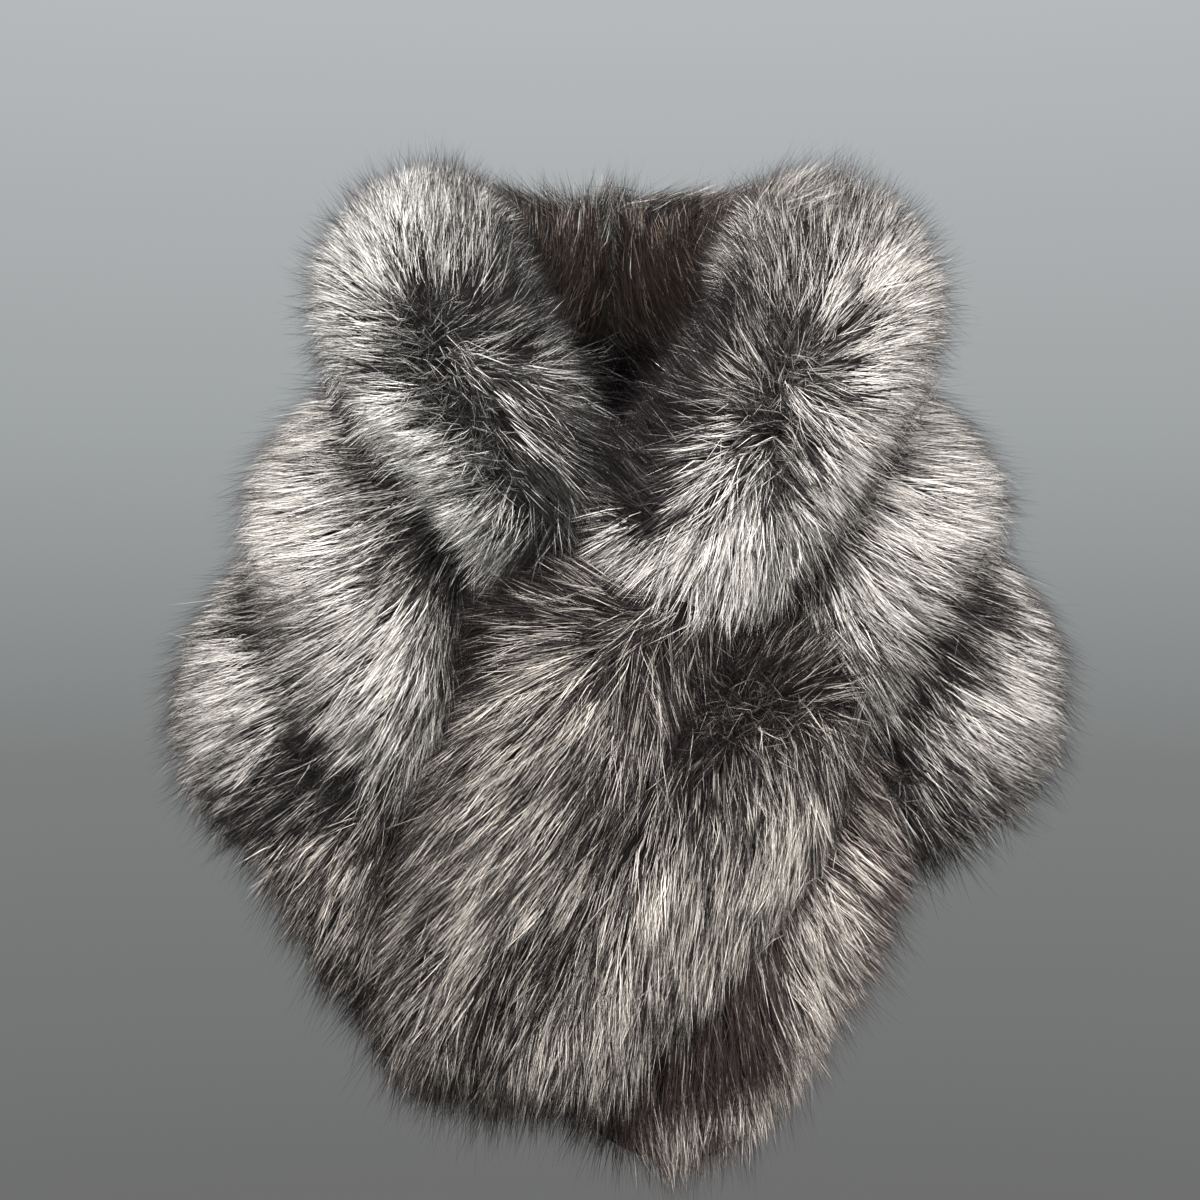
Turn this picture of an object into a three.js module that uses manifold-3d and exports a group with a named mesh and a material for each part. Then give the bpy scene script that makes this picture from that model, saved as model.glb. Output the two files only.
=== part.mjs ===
// Fur wrap cape, worn form, millimetres, +Z up.
//
// The origin is the base of the wearer's neck, where the cape is held. The wearer faces -Y, so the
// wearer's right is -X. Every piece is leather with its pile on, drawn as one wall from the leather's
// inner face to the tips of the fur. Angles run round the figure from centre front (0 degrees) to
// centre back (180 degrees), and are negative on the wearer's right.

import * as THREE from 'three';
import Module from 'manifold-3d';

const wasm = await Module();
wasm.setup();

// Driving sizes.
const SEAM_GAP = 0.3; // air between two pieces
const SEAM_HEIGHT = -190; // height at which the centre back seam's gap is set
const SWELL = 0.35; // a cutter is grown by this, a little more than the seam gap
const SHARPEST_MITRE = 0.3; // a point at a sharper edge than this moves no further
const PLAN_POWER = 2.3; // 2 would make the figure's plan an ellipse, more makes it squarer
const PEAK = 0.56; // how far down a row its fur is fullest
const PANEL_FLATNESS = 0.55; // 1 would round a front panel off like a roll, less keeps it flat
const ROOT = 0.56; // height of a row's fur at its top edge, as a share of its fullest height
const END_ROUNDING = 0.14; // share of a piece's length over which a free end rounds off
const THIN_END = 0.3; // height left at a free end
const TIER_STEPS = 26; // sections along a tier
const PANEL_STEPS = 20; // sections down a front panel
const COLLAR_STEPS = 30; // sections along a collar
const INNER_POINTS = 5; // points on the leather side of a section
const OUTER_POINTS = 11; // points on the fur side of a section
const ROLL_POINTS = 18; // points round a collar's section

// The figure that the cape is draped on: half width, and depth in front and behind, at each height.
const FIGURE = [
  { z: 60, half: 58, front: 50, back: 54 },
  { z: 0, half: 66, front: 58, back: 62 },
  { z: -20, half: 112, front: 72, back: 80 },
  { z: -45, half: 182, front: 90, back: 94 },
  { z: -80, half: 212, front: 102, back: 104 },
  { z: -120, half: 225, front: 112, back: 110 },
  { z: -190, half: 240, front: 122, back: 114 },
  { z: -280, half: 268, front: 126, back: 114 },
  { z: -340, half: 278, front: 124, back: 112 },
  { z: -400, half: 282, front: 120, back: 108 },
  { z: -500, half: 280, front: 112, back: 100 },
  { z: -660, half: 272, front: 100, back: 92 },
];

// Tiers: top and bottom height of the row, how far its leather stands off the figure, and its pile.
const TIERS = {
  upper_tier_right: {
    free: [true, false],
    rows: [
      { angle: -19, top: -190, bottom: -366, lift: 2, loft: 50 },
      { angle: -30, top: -150, bottom: -358, lift: 4, loft: 58 },
      { angle: -45, top: -100, bottom: -320, lift: 8, loft: 60 },
      { angle: -60, top: -64, bottom: -266, lift: 8, loft: 58 },
      { angle: -75, top: -50, bottom: -212, lift: 4, loft: 56 },
      { angle: -90, top: -46, bottom: -184, lift: 2, loft: 56 },
      { angle: -120, top: -46, bottom: -190, lift: 4, loft: 58 },
      { angle: -150, top: -50, bottom: -215, lift: 6, loft: 60 },
      { angle: -180, top: -50, bottom: -226, lift: 6, loft: 60 },
    ],
  },
  upper_tier_left: {
    free: [true, false],
    rows: [
      { angle: 24, top: -170, bottom: -300, lift: 4, loft: 48 },
      { angle: 31, top: -140, bottom: -326, lift: 6, loft: 56 },
      { angle: 39, top: -110, bottom: -322, lift: 8, loft: 58 },
      { angle: 50, top: -84, bottom: -274, lift: 8, loft: 58 },
      { angle: 62, top: -64, bottom: -238, lift: 10, loft: 64 },
      { angle: 75, top: -50, bottom: -208, lift: 12, loft: 68 },
      { angle: 90, top: -46, bottom: -194, lift: 12, loft: 70 },
      { angle: 120, top: -46, bottom: -196, lift: 6, loft: 60 },
      { angle: 150, top: -50, bottom: -215, lift: 6, loft: 60 },
      { angle: 180, top: -50, bottom: -226, lift: 6, loft: 60 },
    ],
  },
  lower_tier_right: {
    free: [true, false],
    rows: [
      { angle: -30, top: -300, bottom: -385, lift: 0, loft: 44 },
      { angle: -45, top: -250, bottom: -398, lift: 2, loft: 54 },
      { angle: -60, top: -196, bottom: -400, lift: 6, loft: 62 },
      { angle: -75, top: -150, bottom: -392, lift: 8, loft: 66 },
      { angle: -90, top: -130, bottom: -384, lift: 8, loft: 66 },
      { angle: -120, top: -136, bottom: -396, lift: 4, loft: 64 },
      { angle: -150, top: -160, bottom: -424, lift: 2, loft: 62 },
      { angle: -180, top: -170, bottom: -436, lift: 2, loft: 62 },
    ],
  },
  lower_tier_left: {
    free: [true, false],
    rows: [
      { angle: 35, top: -290, bottom: -408, lift: 0, loft: 48 },
      { angle: 45, top: -250, bottom: -416, lift: 4, loft: 58 },
      { angle: 60, top: -190, bottom: -396, lift: 12, loft: 66 },
      { angle: 75, top: -146, bottom: -372, lift: 20, loft: 70 },
      { angle: 90, top: -130, bottom: -362, lift: 22, loft: 70 },
      { angle: 120, top: -136, bottom: -396, lift: 8, loft: 66 },
      { angle: 150, top: -160, bottom: -424, lift: 2, loft: 62 },
      { angle: 180, top: -170, bottom: -436, lift: 2, loft: 62 },
    ],
  },
  front_right_hem: {
    free: [true, true],
    rows: [
      { angle: -6, top: -350, bottom: -584, lift: 0, loft: 40 },
      { angle: -20, top: -345, bottom: -576, lift: 0, loft: 52 },
      { angle: -32, top: -335, bottom: -546, lift: 0, loft: 58 },
      { angle: -42, top: -325, bottom: -506, lift: 0, loft: 58 },
      { angle: -51, top: -320, bottom: -462, lift: 0, loft: 54 },
      { angle: -60, top: -330, bottom: -412, lift: 0, loft: 46 },
    ],
  },
  front_left_side: {
    free: [true, true],
    rows: [
      { angle: -6, top: -470, bottom: -574, lift: 0, loft: 42 },
      { angle: -1, top: -460, bottom: -612, lift: 0, loft: 50 },
      { angle: 6, top: -440, bottom: -632, lift: 0, loft: 58 },
      { angle: 16, top: -370, bottom: -624, lift: 0, loft: 62 },
      { angle: 26, top: -320, bottom: -578, lift: 0, loft: 62 },
      { angle: 36, top: -300, bottom: -506, lift: 0, loft: 58 },
      { angle: 44, top: -310, bottom: -440, lift: 0, loft: 48 },
    ],
  },
};

// Front panels: where each height's left and right edges lie, seen from the front.
const PANELS = {
  front_left_band: {
    rows: [
      { z: -170, left: -50, right: 60, lift: 16, loft: 56 },
      { z: -215, left: -92, right: 92, lift: 24, loft: 64 },
      { z: -284, left: -104, right: 68, lift: 26, loft: 66 },
      { z: -330, left: -124, right: 52, lift: 28, loft: 64 },
      { z: -390, left: -140, right: 24, lift: 28, loft: 62 },
      { z: -445, left: -152, right: -20, lift: 26, loft: 60 },
      { z: -518, left: -162, right: -64, lift: 22, loft: 56 },
      { z: -572, left: -144, right: -82, lift: 14, loft: 46 },
    ],
  },
  front_left_centre: {
    rows: [
      { z: -222, left: 50, right: 140, lift: 20, loft: 50 },
      { z: -262, left: 24, right: 166, lift: 22, loft: 60 },
      { z: -310, left: -4, right: 168, lift: 24, loft: 62 },
      { z: -387, left: -46, right: 146, lift: 24, loft: 60 },
      { z: -448, left: -92, right: 108, lift: 22, loft: 60 },
      { z: -518, left: -124, right: 60, lift: 18, loft: 58 },
      { z: -568, left: -110, right: 20, lift: 12, loft: 50 },
      { z: -588, left: -92, right: -8, lift: 8, loft: 38 },
    ],
  },
};

// Collars: centre of the roll, half its depth and half its height, and which way its crest leans:
// 0 leans it straight up, 90 straight forward. A tilt turns its foot outwards.
const COLLARS = {
  collar_right: {
    rows: [
      { at: 0.0, x: -SEAM_GAP / 2, y: 122, z: 46, deep: 54, high: 96, lean: 0, tilt: 12 },
      { at: 0.15, x: -66, y: 112, z: 46, deep: 56, high: 96, lean: 0, tilt: 12 },
      { at: 0.3, x: -116, y: 76, z: 48, deep: 62, high: 94, lean: 0, tilt: 10 },
      { at: 0.45, x: -142, y: 10, z: 48, deep: 77, high: 92, lean: 8, tilt: 6 },
      { at: 0.58, x: -144, y: -58, z: 30, deep: 88, high: 84, lean: 36, tilt: 0 },
      { at: 0.7, x: -118, y: -104, z: -26, deep: 86, high: 68, lean: 70, tilt: 0 },
      { at: 0.8, x: -84, y: -128, z: -88, deep: 76, high: 60, lean: 84, tilt: 0 },
      { at: 0.9, x: -58, y: -140, z: -150, deep: 56, high: 54, lean: 88, tilt: 0 },
      { at: 1.0, x: -48, y: -138, z: -214, deep: 34, high: 34, lean: 90, tilt: 0 },
    ],
  },
  collar_left: {
    rows: [
      { at: 0.0, x: SEAM_GAP / 2, y: 122, z: 46, deep: 54, high: 96, lean: 0, tilt: 12 },
      { at: 0.14, x: 70, y: 112, z: 46, deep: 56, high: 96, lean: 0, tilt: 12 },
      { at: 0.28, x: 128, y: 76, z: 46, deep: 68, high: 92, lean: 0, tilt: 10 },
      { at: 0.42, x: 164, y: 10, z: 46, deep: 86, high: 90, lean: 8, tilt: 6 },
      { at: 0.54, x: 166, y: -56, z: 24, deep: 92, high: 84, lean: 36, tilt: 0 },
      { at: 0.66, x: 142, y: -106, z: -34, deep: 88, high: 72, lean: 70, tilt: 0 },
      { at: 0.76, x: 100, y: -136, z: -98, deep: 88, high: 64, lean: 84, tilt: 0 },
      { at: 0.88, x: 54, y: -156, z: -164, deep: 80, high: 58, lean: 88, tilt: 0 },
      { at: 1.0, x: 14, y: -162, z: -226, deep: 56, high: 44, lean: 90, tilt: 0 },
    ],
  },
};

// What lies over what, topmost first. Each piece is cut back where a higher one lies on it.
const LAYERS = [
  'collar_left',
  'collar_right',
  'front_left_band',
  'front_left_centre',
  'upper_tier_left',
  'upper_tier_right',
  'lower_tier_left',
  'lower_tier_right',
  'front_left_side',
  'front_right_hem',
];

const SILVER = 0xa9a5a2;
const COLOURS = {
  collar_left: 0xb4b0ac,
  collar_right: 0xb0aca8,
  front_left_band: 0x9d9996,
  front_left_centre: 0xa39e99,
  front_left_side: 0x8d8583,
};

// A smooth curve through one column of a table, read at any value of its key column.
function reading(rows, key, column, at) {
  const rising = rows[rows.length - 1][key] > rows[0][key];
  const low = Math.min(rows[0][key], rows[rows.length - 1][key]);
  const high = Math.max(rows[0][key], rows[rows.length - 1][key]);
  const value = THREE.MathUtils.clamp(at, low, high);
  let i = 0;
  while (i < rows.length - 2 && (rising ? rows[i + 1][key] < value : rows[i + 1][key] > value)) {
    i += 1;
  }
  const slope = (a, b) => (rows[b][column] - rows[a][column]) / (rows[b][key] - rows[a][key]);
  const here = slope(i, i + 1);
  const before = i > 0 ? slope(i - 1, i) : here;
  const after = i < rows.length - 2 ? slope(i + 1, i + 2) : here;
  const start = before * here > 0 ? (2 * before * here) / (before + here) : 0;
  const end = after * here > 0 ? (2 * after * here) / (after + here) : 0;
  const span = rows[i + 1][key] - rows[i][key];
  const t = (value - rows[i][key]) / span;
  const a = 2 * t ** 3 - 3 * t ** 2 + 1;
  const b = t ** 3 - 2 * t ** 2 + t;
  const c = -2 * t ** 3 + 3 * t ** 2;
  const d = t ** 3 - t ** 2;
  return a * rows[i][column] + b * span * start + c * rows[i + 1][column] + d * span * end;
}

// A point on the figure's skin.
function figurePoint(angle, z) {
  const half = reading(FIGURE, 'z', 'half', z);
  const turn = THREE.MathUtils.degToRad(angle);
  const side = Math.sin(turn);
  const ahead = Math.cos(turn);
  const depth = reading(FIGURE, 'z', ahead > 0 ? 'front' : 'back', z);
  const x = Math.sign(side) * half * Math.abs(side) ** (2 / PLAN_POWER);
  const y = -Math.sign(ahead) * depth * Math.abs(ahead) ** (2 / PLAN_POWER);
  return new THREE.Vector3(x, y, z);
}

// A point that stands a given distance off the figure's skin.
function offFigure(angle, z, distance) {
  const turnStep = 2;
  const dropStep = 4;
  const point = figurePoint(angle, z);
  const round = figurePoint(angle + turnStep, z).sub(figurePoint(angle - turnStep, z));
  const down = figurePoint(angle, z - dropStep).sub(figurePoint(angle, z + dropStep));
  const normal = down.cross(round).normalize();
  return point.addScaledVector(normal, distance);
}

// The angle at which the figure's front has a given x.
function frontAngle(x, z) {
  const share = Math.min(Math.abs(x) / reading(FIGURE, 'z', 'half', z), 1);
  return Math.sign(x) * THREE.MathUtils.radToDeg(Math.asin(share ** (PLAN_POWER / 2)));
}

// How far a free end has rounded off, at a share of the piece's length.
function endRounding(share, free) {
  let height = 1;
  const ends = [
    [free[0], share],
    [free[1], 1 - share],
  ];
  for (const [isFree, away] of ends) {
    if (isFree && away < END_ROUNDING) {
      const round = Math.sqrt(1 - (1 - away / END_ROUNDING) ** 2);
      height = Math.min(height, THIN_END + (1 - THIN_END) * round);
    }
  }
  return height;
}

// A row's section, from its top edge down the leather and back up over the fur:
// how far down each point is, and how high off the leather, both as shares.
function rowProfile() {
  const points = [];
  for (let i = 0; i < INNER_POINTS; i += 1) {
    points.push({ down: i / INNER_POINTS, height: 0 });
  }
  for (let i = 0; i < OUTER_POINTS; i += 1) {
    const t = i / (OUTER_POINTS - 1);
    if (t < 0.5) {
      const turn = (Math.PI / 2) * (1 - t * 2);
      points.push({ down: PEAK + (1 - PEAK) * Math.sin(turn), height: Math.cos(turn) });
    } else {
      const climb = (t - 0.5) * 2;
      const fall = 0.5 - 0.5 * Math.cos(Math.PI * climb);
      points.push({ down: PEAK * (1 - climb), height: 1 - (1 - ROOT) * fall });
    }
  }
  return points;
}

// A front panel's section, from one edge along the leather and back over the fur.
function panelProfile() {
  const points = [];
  for (let i = 0; i < INNER_POINTS; i += 1) {
    points.push({ across: i / INNER_POINTS, height: 0 });
  }
  for (let i = 0; i < OUTER_POINTS; i += 1) {
    const turn = (Math.PI * i) / OUTER_POINTS;
    const height = Math.sin(turn) ** PANEL_FLATNESS;
    points.push({ across: 0.5 + 0.5 * Math.cos(turn), height });
  }
  return points;
}

// One closed body through a list of rings of points.
function loft(rings) {
  const count = rings[0].length;
  const positions = [];
  const faces = [];
  for (const ring of rings) {
    for (const point of ring) {
      positions.push(point.x, point.y, point.z);
    }
  }
  for (let i = 0; i < rings.length - 1; i += 1) {
    for (let j = 0; j < count; j += 1) {
      const a = i * count + j;
      const b = i * count + ((j + 1) % count);
      faces.push(a, b, b + count, a, b + count, a + count);
    }
  }
  const ends = [0, rings.length - 1];
  for (const end of ends) {
    const middle = new THREE.Vector3();
    for (const point of rings[end]) {
      middle.addScaledVector(point, 1 / count);
    }
    const hub = positions.length / 3;
    positions.push(middle.x, middle.y, middle.z);
    for (let j = 0; j < count; j += 1) {
      const a = end * count + j;
      const b = end * count + ((j + 1) % count);
      faces.push(...(end === 0 ? [b, a, hub] : [a, b, hub]));
    }
  }
  const geometry = new THREE.BufferGeometry();
  geometry.setAttribute('position', new THREE.Float32BufferAttribute(positions, 3));
  geometry.setIndex(faces);
  return facingOut(geometry);
}

// Turns a body's faces round if they point inwards.
function facingOut(geometry) {
  const at = geometry.getAttribute('position');
  const index = geometry.getIndex();
  const corner = (i) => new THREE.Vector3().fromBufferAttribute(at, index.getX(i));
  let volume = 0;
  for (let i = 0; i < index.count; i += 3) {
    volume += corner(i).dot(corner(i + 1).cross(corner(i + 2)));
  }
  if (volume < 0) {
    for (let i = 0; i < index.count; i += 3) {
      const kept = index.getX(i);
      index.setX(i, index.getX(i + 1));
      index.setX(i + 1, kept);
    }
  }
  return geometry;
}

// A row of fur, from one angle to another.
function tier({ rows, free }) {
  const profile = rowProfile();
  const first = rows[0].angle;
  const last = rows[rows.length - 1].angle;
  const seamTurn = frontAngle(SEAM_GAP / 2, SEAM_HEIGHT) * Math.sign(last);
  const stop = free[1] ? last : last - seamTurn;
  const rings = [];
  for (let i = 0; i <= TIER_STEPS; i += 1) {
    const share = i / TIER_STEPS;
    const angle = first + (stop - first) * share;
    const read = (column) => reading(rows, 'angle', column, angle);
    const height = read('loft') * endRounding(share, free);
    const drop = read('bottom') - read('top');
    const ring = profile.map((p) => {
      const z = read('top') + drop * p.down;
      return offFigure(angle, z, read('lift') + height * p.height);
    });
    rings.push(ring);
  }
  return loft(rings);
}

// A front panel, from its top to its tips.
function panel({ rows }) {
  const profile = panelProfile();
  const top = rows[0].z;
  const bottom = rows[rows.length - 1].z;
  const rings = [];
  for (let i = 0; i <= PANEL_STEPS; i += 1) {
    const share = i / PANEL_STEPS;
    const z = top + (bottom - top) * share;
    const read = (column) => reading(rows, 'z', column, z);
    const height = read('loft') * endRounding(share, [true, true]);
    const wide = read('right') - read('left');
    const ring = profile.map((p) => {
      const x = read('left') + wide * p.across;
      return offFigure(frontAngle(x, z), z, read('lift') + height * p.height);
    });
    rings.push(ring);
  }
  return loft(rings);
}

// A collar: a roll round the neck that turns down over the chest.
function collar({ rows }) {
  const centre = (at) => {
    const read = (column) => reading(rows, 'at', column, at);
    return new THREE.Vector3(read('x'), read('y'), read('z'));
  };
  const rings = [];
  const step = 0.01;
  for (let i = 0; i <= COLLAR_STEPS; i += 1) {
    const at = i / COLLAR_STEPS;
    const read = (column) => reading(rows, 'at', column, at);
    const along = i === 0
      ? new THREE.Vector3(Math.sign(rows[0].x), 0, 0)
      : centre(Math.min(at + step, 1)).sub(centre(Math.max(at - step, 0))).normalize();
    const lean = THREE.MathUtils.degToRad(read('lean'));
    const crest = new THREE.Vector3(0, -Math.sin(lean), Math.cos(lean));
    crest.addScaledVector(along, -crest.dot(along)).normalize();
    const out = new THREE.Vector3().crossVectors(along, crest).normalize();
    const middle = centre(at);
    const tilt = THREE.MathUtils.degToRad(read('tilt')) * Math.sign(rows[0].x);
    const round = endRounding(at, [false, true]);
    const ring = [];
    for (let j = 0; j < ROLL_POINTS; j += 1) {
      const turn = (2 * Math.PI * j) / ROLL_POINTS;
      const wide = read('deep') * Math.cos(turn) * round;
      const tall = read('high') * Math.sin(turn) * round;
      const a = wide * Math.cos(tilt) - tall * Math.sin(tilt);
      const b = wide * Math.sin(tilt) + tall * Math.cos(tilt);
      ring.push(middle.clone().addScaledVector(out, a).addScaledVector(crest, b));
    }
    rings.push(ring);
  }
  return loft(rings);
}

// The space that the wearer fills, as one body.
function wearerSpace() {
  const sides = 48;
  const rings = FIGURE.map((row) => {
    const ring = [];
    for (let j = 0; j < sides; j += 1) {
      ring.push(figurePoint((360 * j) / sides - 180, row.z));
    }
    return ring;
  });
  return loft(rings);
}

// Each point's own way out: the faces at it, weighted by their angles there.
function waysOut(corners, count) {
  const ways = Array.from({ length: count }, () => new THREE.Vector3());
  for (const { points, keys, face } of corners) {
    for (let i = 0; i < 3; i += 1) {
      const next = points[(i + 1) % 3].clone().sub(points[i]);
      const last = points[(i + 2) % 3].clone().sub(points[i]);
      ways[keys[i]].addScaledVector(face, next.angleTo(last));
    }
  }
  return ways.map((way) => way.normalize());
}

// A geometry's points, moved so that all its faces move out by a given distance.
function movedOut(geometry, distance) {
  const at = geometry.getAttribute('position');
  const index = geometry.getIndex();
  const corners = [];
  for (let i = 0; i < index.count; i += 3) {
    const keys = [index.getX(i), index.getX(i + 1), index.getX(i + 2)];
    const points = keys.map((k) => new THREE.Vector3().fromBufferAttribute(at, k));
    const across = points[2].clone().sub(points[0]);
    const face = points[1].clone().sub(points[0]).cross(across).normalize();
    corners.push({ points, keys, face });
  }
  const ways = waysOut(corners, at.count);
  const least = new Float32Array(at.count).fill(1);
  for (const { keys, face } of corners) {
    for (const k of keys) {
      least[k] = Math.min(least[k], ways[k].dot(face));
    }
  }
  const moved = new Float32Array(at.count * 3);
  for (let k = 0; k < at.count; k += 1) {
    const reach = distance / Math.max(least[k], SHARPEST_MITRE);
    const point = new THREE.Vector3().fromBufferAttribute(at, k);
    point.addScaledVector(ways[k], reach).toArray(moved, k * 3);
  }
  return moved;
}

// A geometry as a manifold body, with its faces moved out by a given distance.
function bodyOf(geometry, distance) {
  const mesh = new wasm.Mesh({
    numProp: 3,
    vertProperties: movedOut(geometry, distance),
    triVerts: Uint32Array.from(geometry.getIndex().array),
  });
  return new wasm.Manifold(mesh);
}

// The largest of the bodies that a cut leaves.
function largest(body) {
  const bodies = body.decompose();
  return bodies.reduce((best, next) => (next.volume() > best.volume() ? next : best));
}

// A manifold body as a named mesh with its own material.
function pieceOf(name, body) {
  const mesh = body.getMesh();
  const geometry = new THREE.BufferGeometry();
  geometry.setAttribute('position', new THREE.BufferAttribute(mesh.vertProperties, 3));
  geometry.setIndex(new THREE.BufferAttribute(mesh.triVerts, 1));
  geometry.computeVertexNormals();
  const colour = COLOURS[name] ?? SILVER;
  const fur = new THREE.MeshStandardMaterial({ color: colour, roughness: 0.85, metalness: 0 });
  const piece = new THREE.Mesh(geometry, fur);
  piece.name = name;
  return piece;
}

function shapeOf(name) {
  if (name in TIERS) {
    return tier(TIERS[name]);
  }
  if (name in PANELS) {
    return panel(PANELS[name]);
  }
  return collar(COLLARS[name]);
}

const cape = new THREE.Group();
let above = bodyOf(wearerSpace(), -SWELL);
for (const name of LAYERS) {
  const shape = shapeOf(name);
  cape.add(pieceOf(name, largest(bodyOf(shape, 0).subtract(above))));
  above = above.add(bodyOf(shape, SWELL));
}

export default cape;
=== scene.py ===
import math

import bpy
import numpy as np
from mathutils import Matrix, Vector
from mathutils.bvhtree import BVHTree


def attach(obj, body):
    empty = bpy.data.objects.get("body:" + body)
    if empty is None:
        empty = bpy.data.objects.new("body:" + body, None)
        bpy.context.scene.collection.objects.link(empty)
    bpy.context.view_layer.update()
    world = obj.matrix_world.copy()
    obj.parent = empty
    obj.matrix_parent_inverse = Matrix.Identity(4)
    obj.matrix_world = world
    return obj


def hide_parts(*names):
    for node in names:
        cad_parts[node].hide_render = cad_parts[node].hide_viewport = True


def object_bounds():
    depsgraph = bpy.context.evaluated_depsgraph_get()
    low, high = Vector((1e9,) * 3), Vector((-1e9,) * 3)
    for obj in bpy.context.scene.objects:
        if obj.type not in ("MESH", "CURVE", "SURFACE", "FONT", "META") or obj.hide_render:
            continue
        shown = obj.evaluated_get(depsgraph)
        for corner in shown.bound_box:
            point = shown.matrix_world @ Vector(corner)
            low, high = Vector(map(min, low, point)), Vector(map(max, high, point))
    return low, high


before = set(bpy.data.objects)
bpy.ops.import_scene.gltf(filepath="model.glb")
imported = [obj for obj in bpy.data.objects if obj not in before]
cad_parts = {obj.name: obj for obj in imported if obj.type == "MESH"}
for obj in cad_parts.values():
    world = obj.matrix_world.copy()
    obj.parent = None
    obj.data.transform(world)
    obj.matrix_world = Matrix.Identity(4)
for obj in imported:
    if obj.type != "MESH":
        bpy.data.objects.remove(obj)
cad_box = [list(corner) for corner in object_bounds()]

# Sizes are in metres. The wearer faces -Y, and +X is the wearer's left.
SEED = 41
WEARER_OVAL = 0.45  # the wearer is wider than deep, so the way out of them is less sideways by this
NUDGE = 0.02  # keeps a cross product away from zero

# The locks
PILE_TOTAL = 350000  # guard hairs over the whole cape, without the extra ones in its whorls
AREA_SAMPLES = 1500  # places on each piece that show how much of it is open to the air
HAIRS_A_LOCK = 12
HAIRS_A_WISP = 2  # hairs that share one shade
LOCK_SPAN = 0.0045  # how far the wisps of a lock lie apart
LOCK_DRAWN_OUT = 1.6  # how much farther apart they lie along the pile
WISP_SPAN = 0.0007
LOCK_STANDS = 0.017  # how far a lock's tip may stand out of the solids
LOCK_REACH = 0.06  # how far off a piece the tips of locks are looked for
TIP_ROOM = np.array((0.028, 0.0195, 0.030))  # how far any tip may stand out past the solids' box
LOCK_LENGTHS = (0.9, 1.2)
LEAST_LIFT = 0.08  # how a lock stands up where the pile lies flat
MORE_LIFT = 0.85  # and how much more where it stands
OUT_TAKEN_OFF = 0.15  # the share of its way straight out that is taken off it first
WANDER = 0.06  # how far each lock strays from the pile's way
WHORL_WANDER = 0.5
BOW = 0.045  # how far a lock bends sideways
WHORL_BOW = 0.12
GATHER = (0.05, 0.6)  # how far the tips of a lock draw together
SILVER_SCATTER = 0.14  # how silver varies from lock to lock
PATCH_DEPTH = 0.16  # and from patch to patch
PATCH_WAVES = 24
PATCH_SIZES = (0.012, 0.045)
PATCH_STREAK = 0.02  # how far patches are drawn out along the pile
FACET_SHARE = 0.35  # how far the pile follows the solids' facets, and not their smooth form
SEEN_AHEAD = 0.013  # how far ahead of its middle a hair shows its silver
COMB_BLUR = 0.006  # how softly one combing spot gives way to the next
RUN_AHEAD = 0.022  # the pile runs on over another piece
RUN_NEAR = 0.016  # if one is this close to a place so far ahead

# The whorls
WHORL_EDGE = 0.2  # how far into a whorl its extra locks begin
WHORL_PILE = 0.030
EXTRA_IN_WHORLS = 1.8  # this many more locks for each one there
EXTRA_SHIFT = 0.003  # how far they grow from it

# The hairs. HAIR_WIDTH, ROOT_DEPTH and SINK are in metres, and most others are shares.
HAIR_WIDTH = 0.00069
WIDTHS = (0.6, 1.25)
LONER_WIDTH = 0.7  # a guard hair or a flyaway is thinner
GUARDS_TO = 0.20  # one hair in five is a long dark guard hair
FLYAWAYS_FROM = 0.996  # and one in 250 flies away from its lock
HAIR_LENGTHS = (0.8, 1.2)
GUARD_LENGTHS = (1.15, 1.7)
FLYAWAY_LENGTHS = (1.3, 1.7)
HAIR_BACK = 0.32  # of its length, from its root to its foot
HAIR_BEND = 0.02  # from its foot to where it is widest
HAIR_AHEAD = 0.46  # from its foot to its tip
ROOT_DEPTH = 0.010
SINK = (0.0, 0.008)  # how much deeper some hairs sit
ROLL = (-0.75, 0.75)  # how a hair's blade is turned, in radians
STRAY = 0.035  # how far a hair strays from its lock
LOOSE_STRAY = 0.3  # more, where the pile stands up
FLYAWAY_STRAY = 0.2
# How far tips may stand off the skin: least and most
GUARD_STANDS = (0.010, 0.028)
PILE_STANDS = (0.002, 0.009)
STANDS_OVER_NEXT = (0.002, 0.014)  # more, where the pile runs on over another piece
LOCK_RELIEF = (-0.004, 0.007)  # lower or higher from lock to lock
HEM_RELIEF = (-0.009, 0.008)  # more of it along a hem
HEM_FRAY = (-0.012, 0.010)  # and from hair to hair

# The brown hair behind the neck
NAPE_TOP = 0.135  # the collar's top edge, where there is least of it
NAPE_FADE = 0.05
NAPE_SHARE = (0.25, 0.9)  # how much of the hair is brown there, and how much well under the edge
NAPE_FROM_Y = 0.02
NAPE_TO_NECK = 0.25  # how far a place has to face the neck

# The leather and the underfur
MERGE_WITHIN = 0.00002
LEATHER_THICK = 0.0015
LEATHER_TURN = 0.45  # leather turns this far to the wearer, and not this far down in a collar
TO_WEARER = 0.3  # how far a face has to turn to the wearer to be inside the cape
UNDERFUR_DEPTH = 0.011
COVERED_DEPTH = 0.1 * UNDERFUR_DEPTH  # under another piece
INNER_DEPTH = 0.25 * UNDERFUR_DEPTH  # on the wearer's side
UNDERFUR_HEM = 0.010  # how much farther the underfur stays back at a hem
DEEPEST = 0.45  # the share of a piece's thickness that the underfur may go in by
OFF_FACE = 0.0004  # how far off a face a ray starts
COVER_REACH = 0.012  # a piece covers another one that is this close under it
OUT_REACH = 0.15  # underfur hides leather that is this close behind it
COLLAR_INSET = 0.022  # how deep the leather lies in a rolled collar
COLLAR_BURIED = 0.014  # and how deep it has to be, or it is cut away
BACK_SEAM = 0.006  # either side of the back seam, where the halves stay close together
SEAM_ZONE = 0.025  # either side of it, where the other half hides the leather's edge
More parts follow.
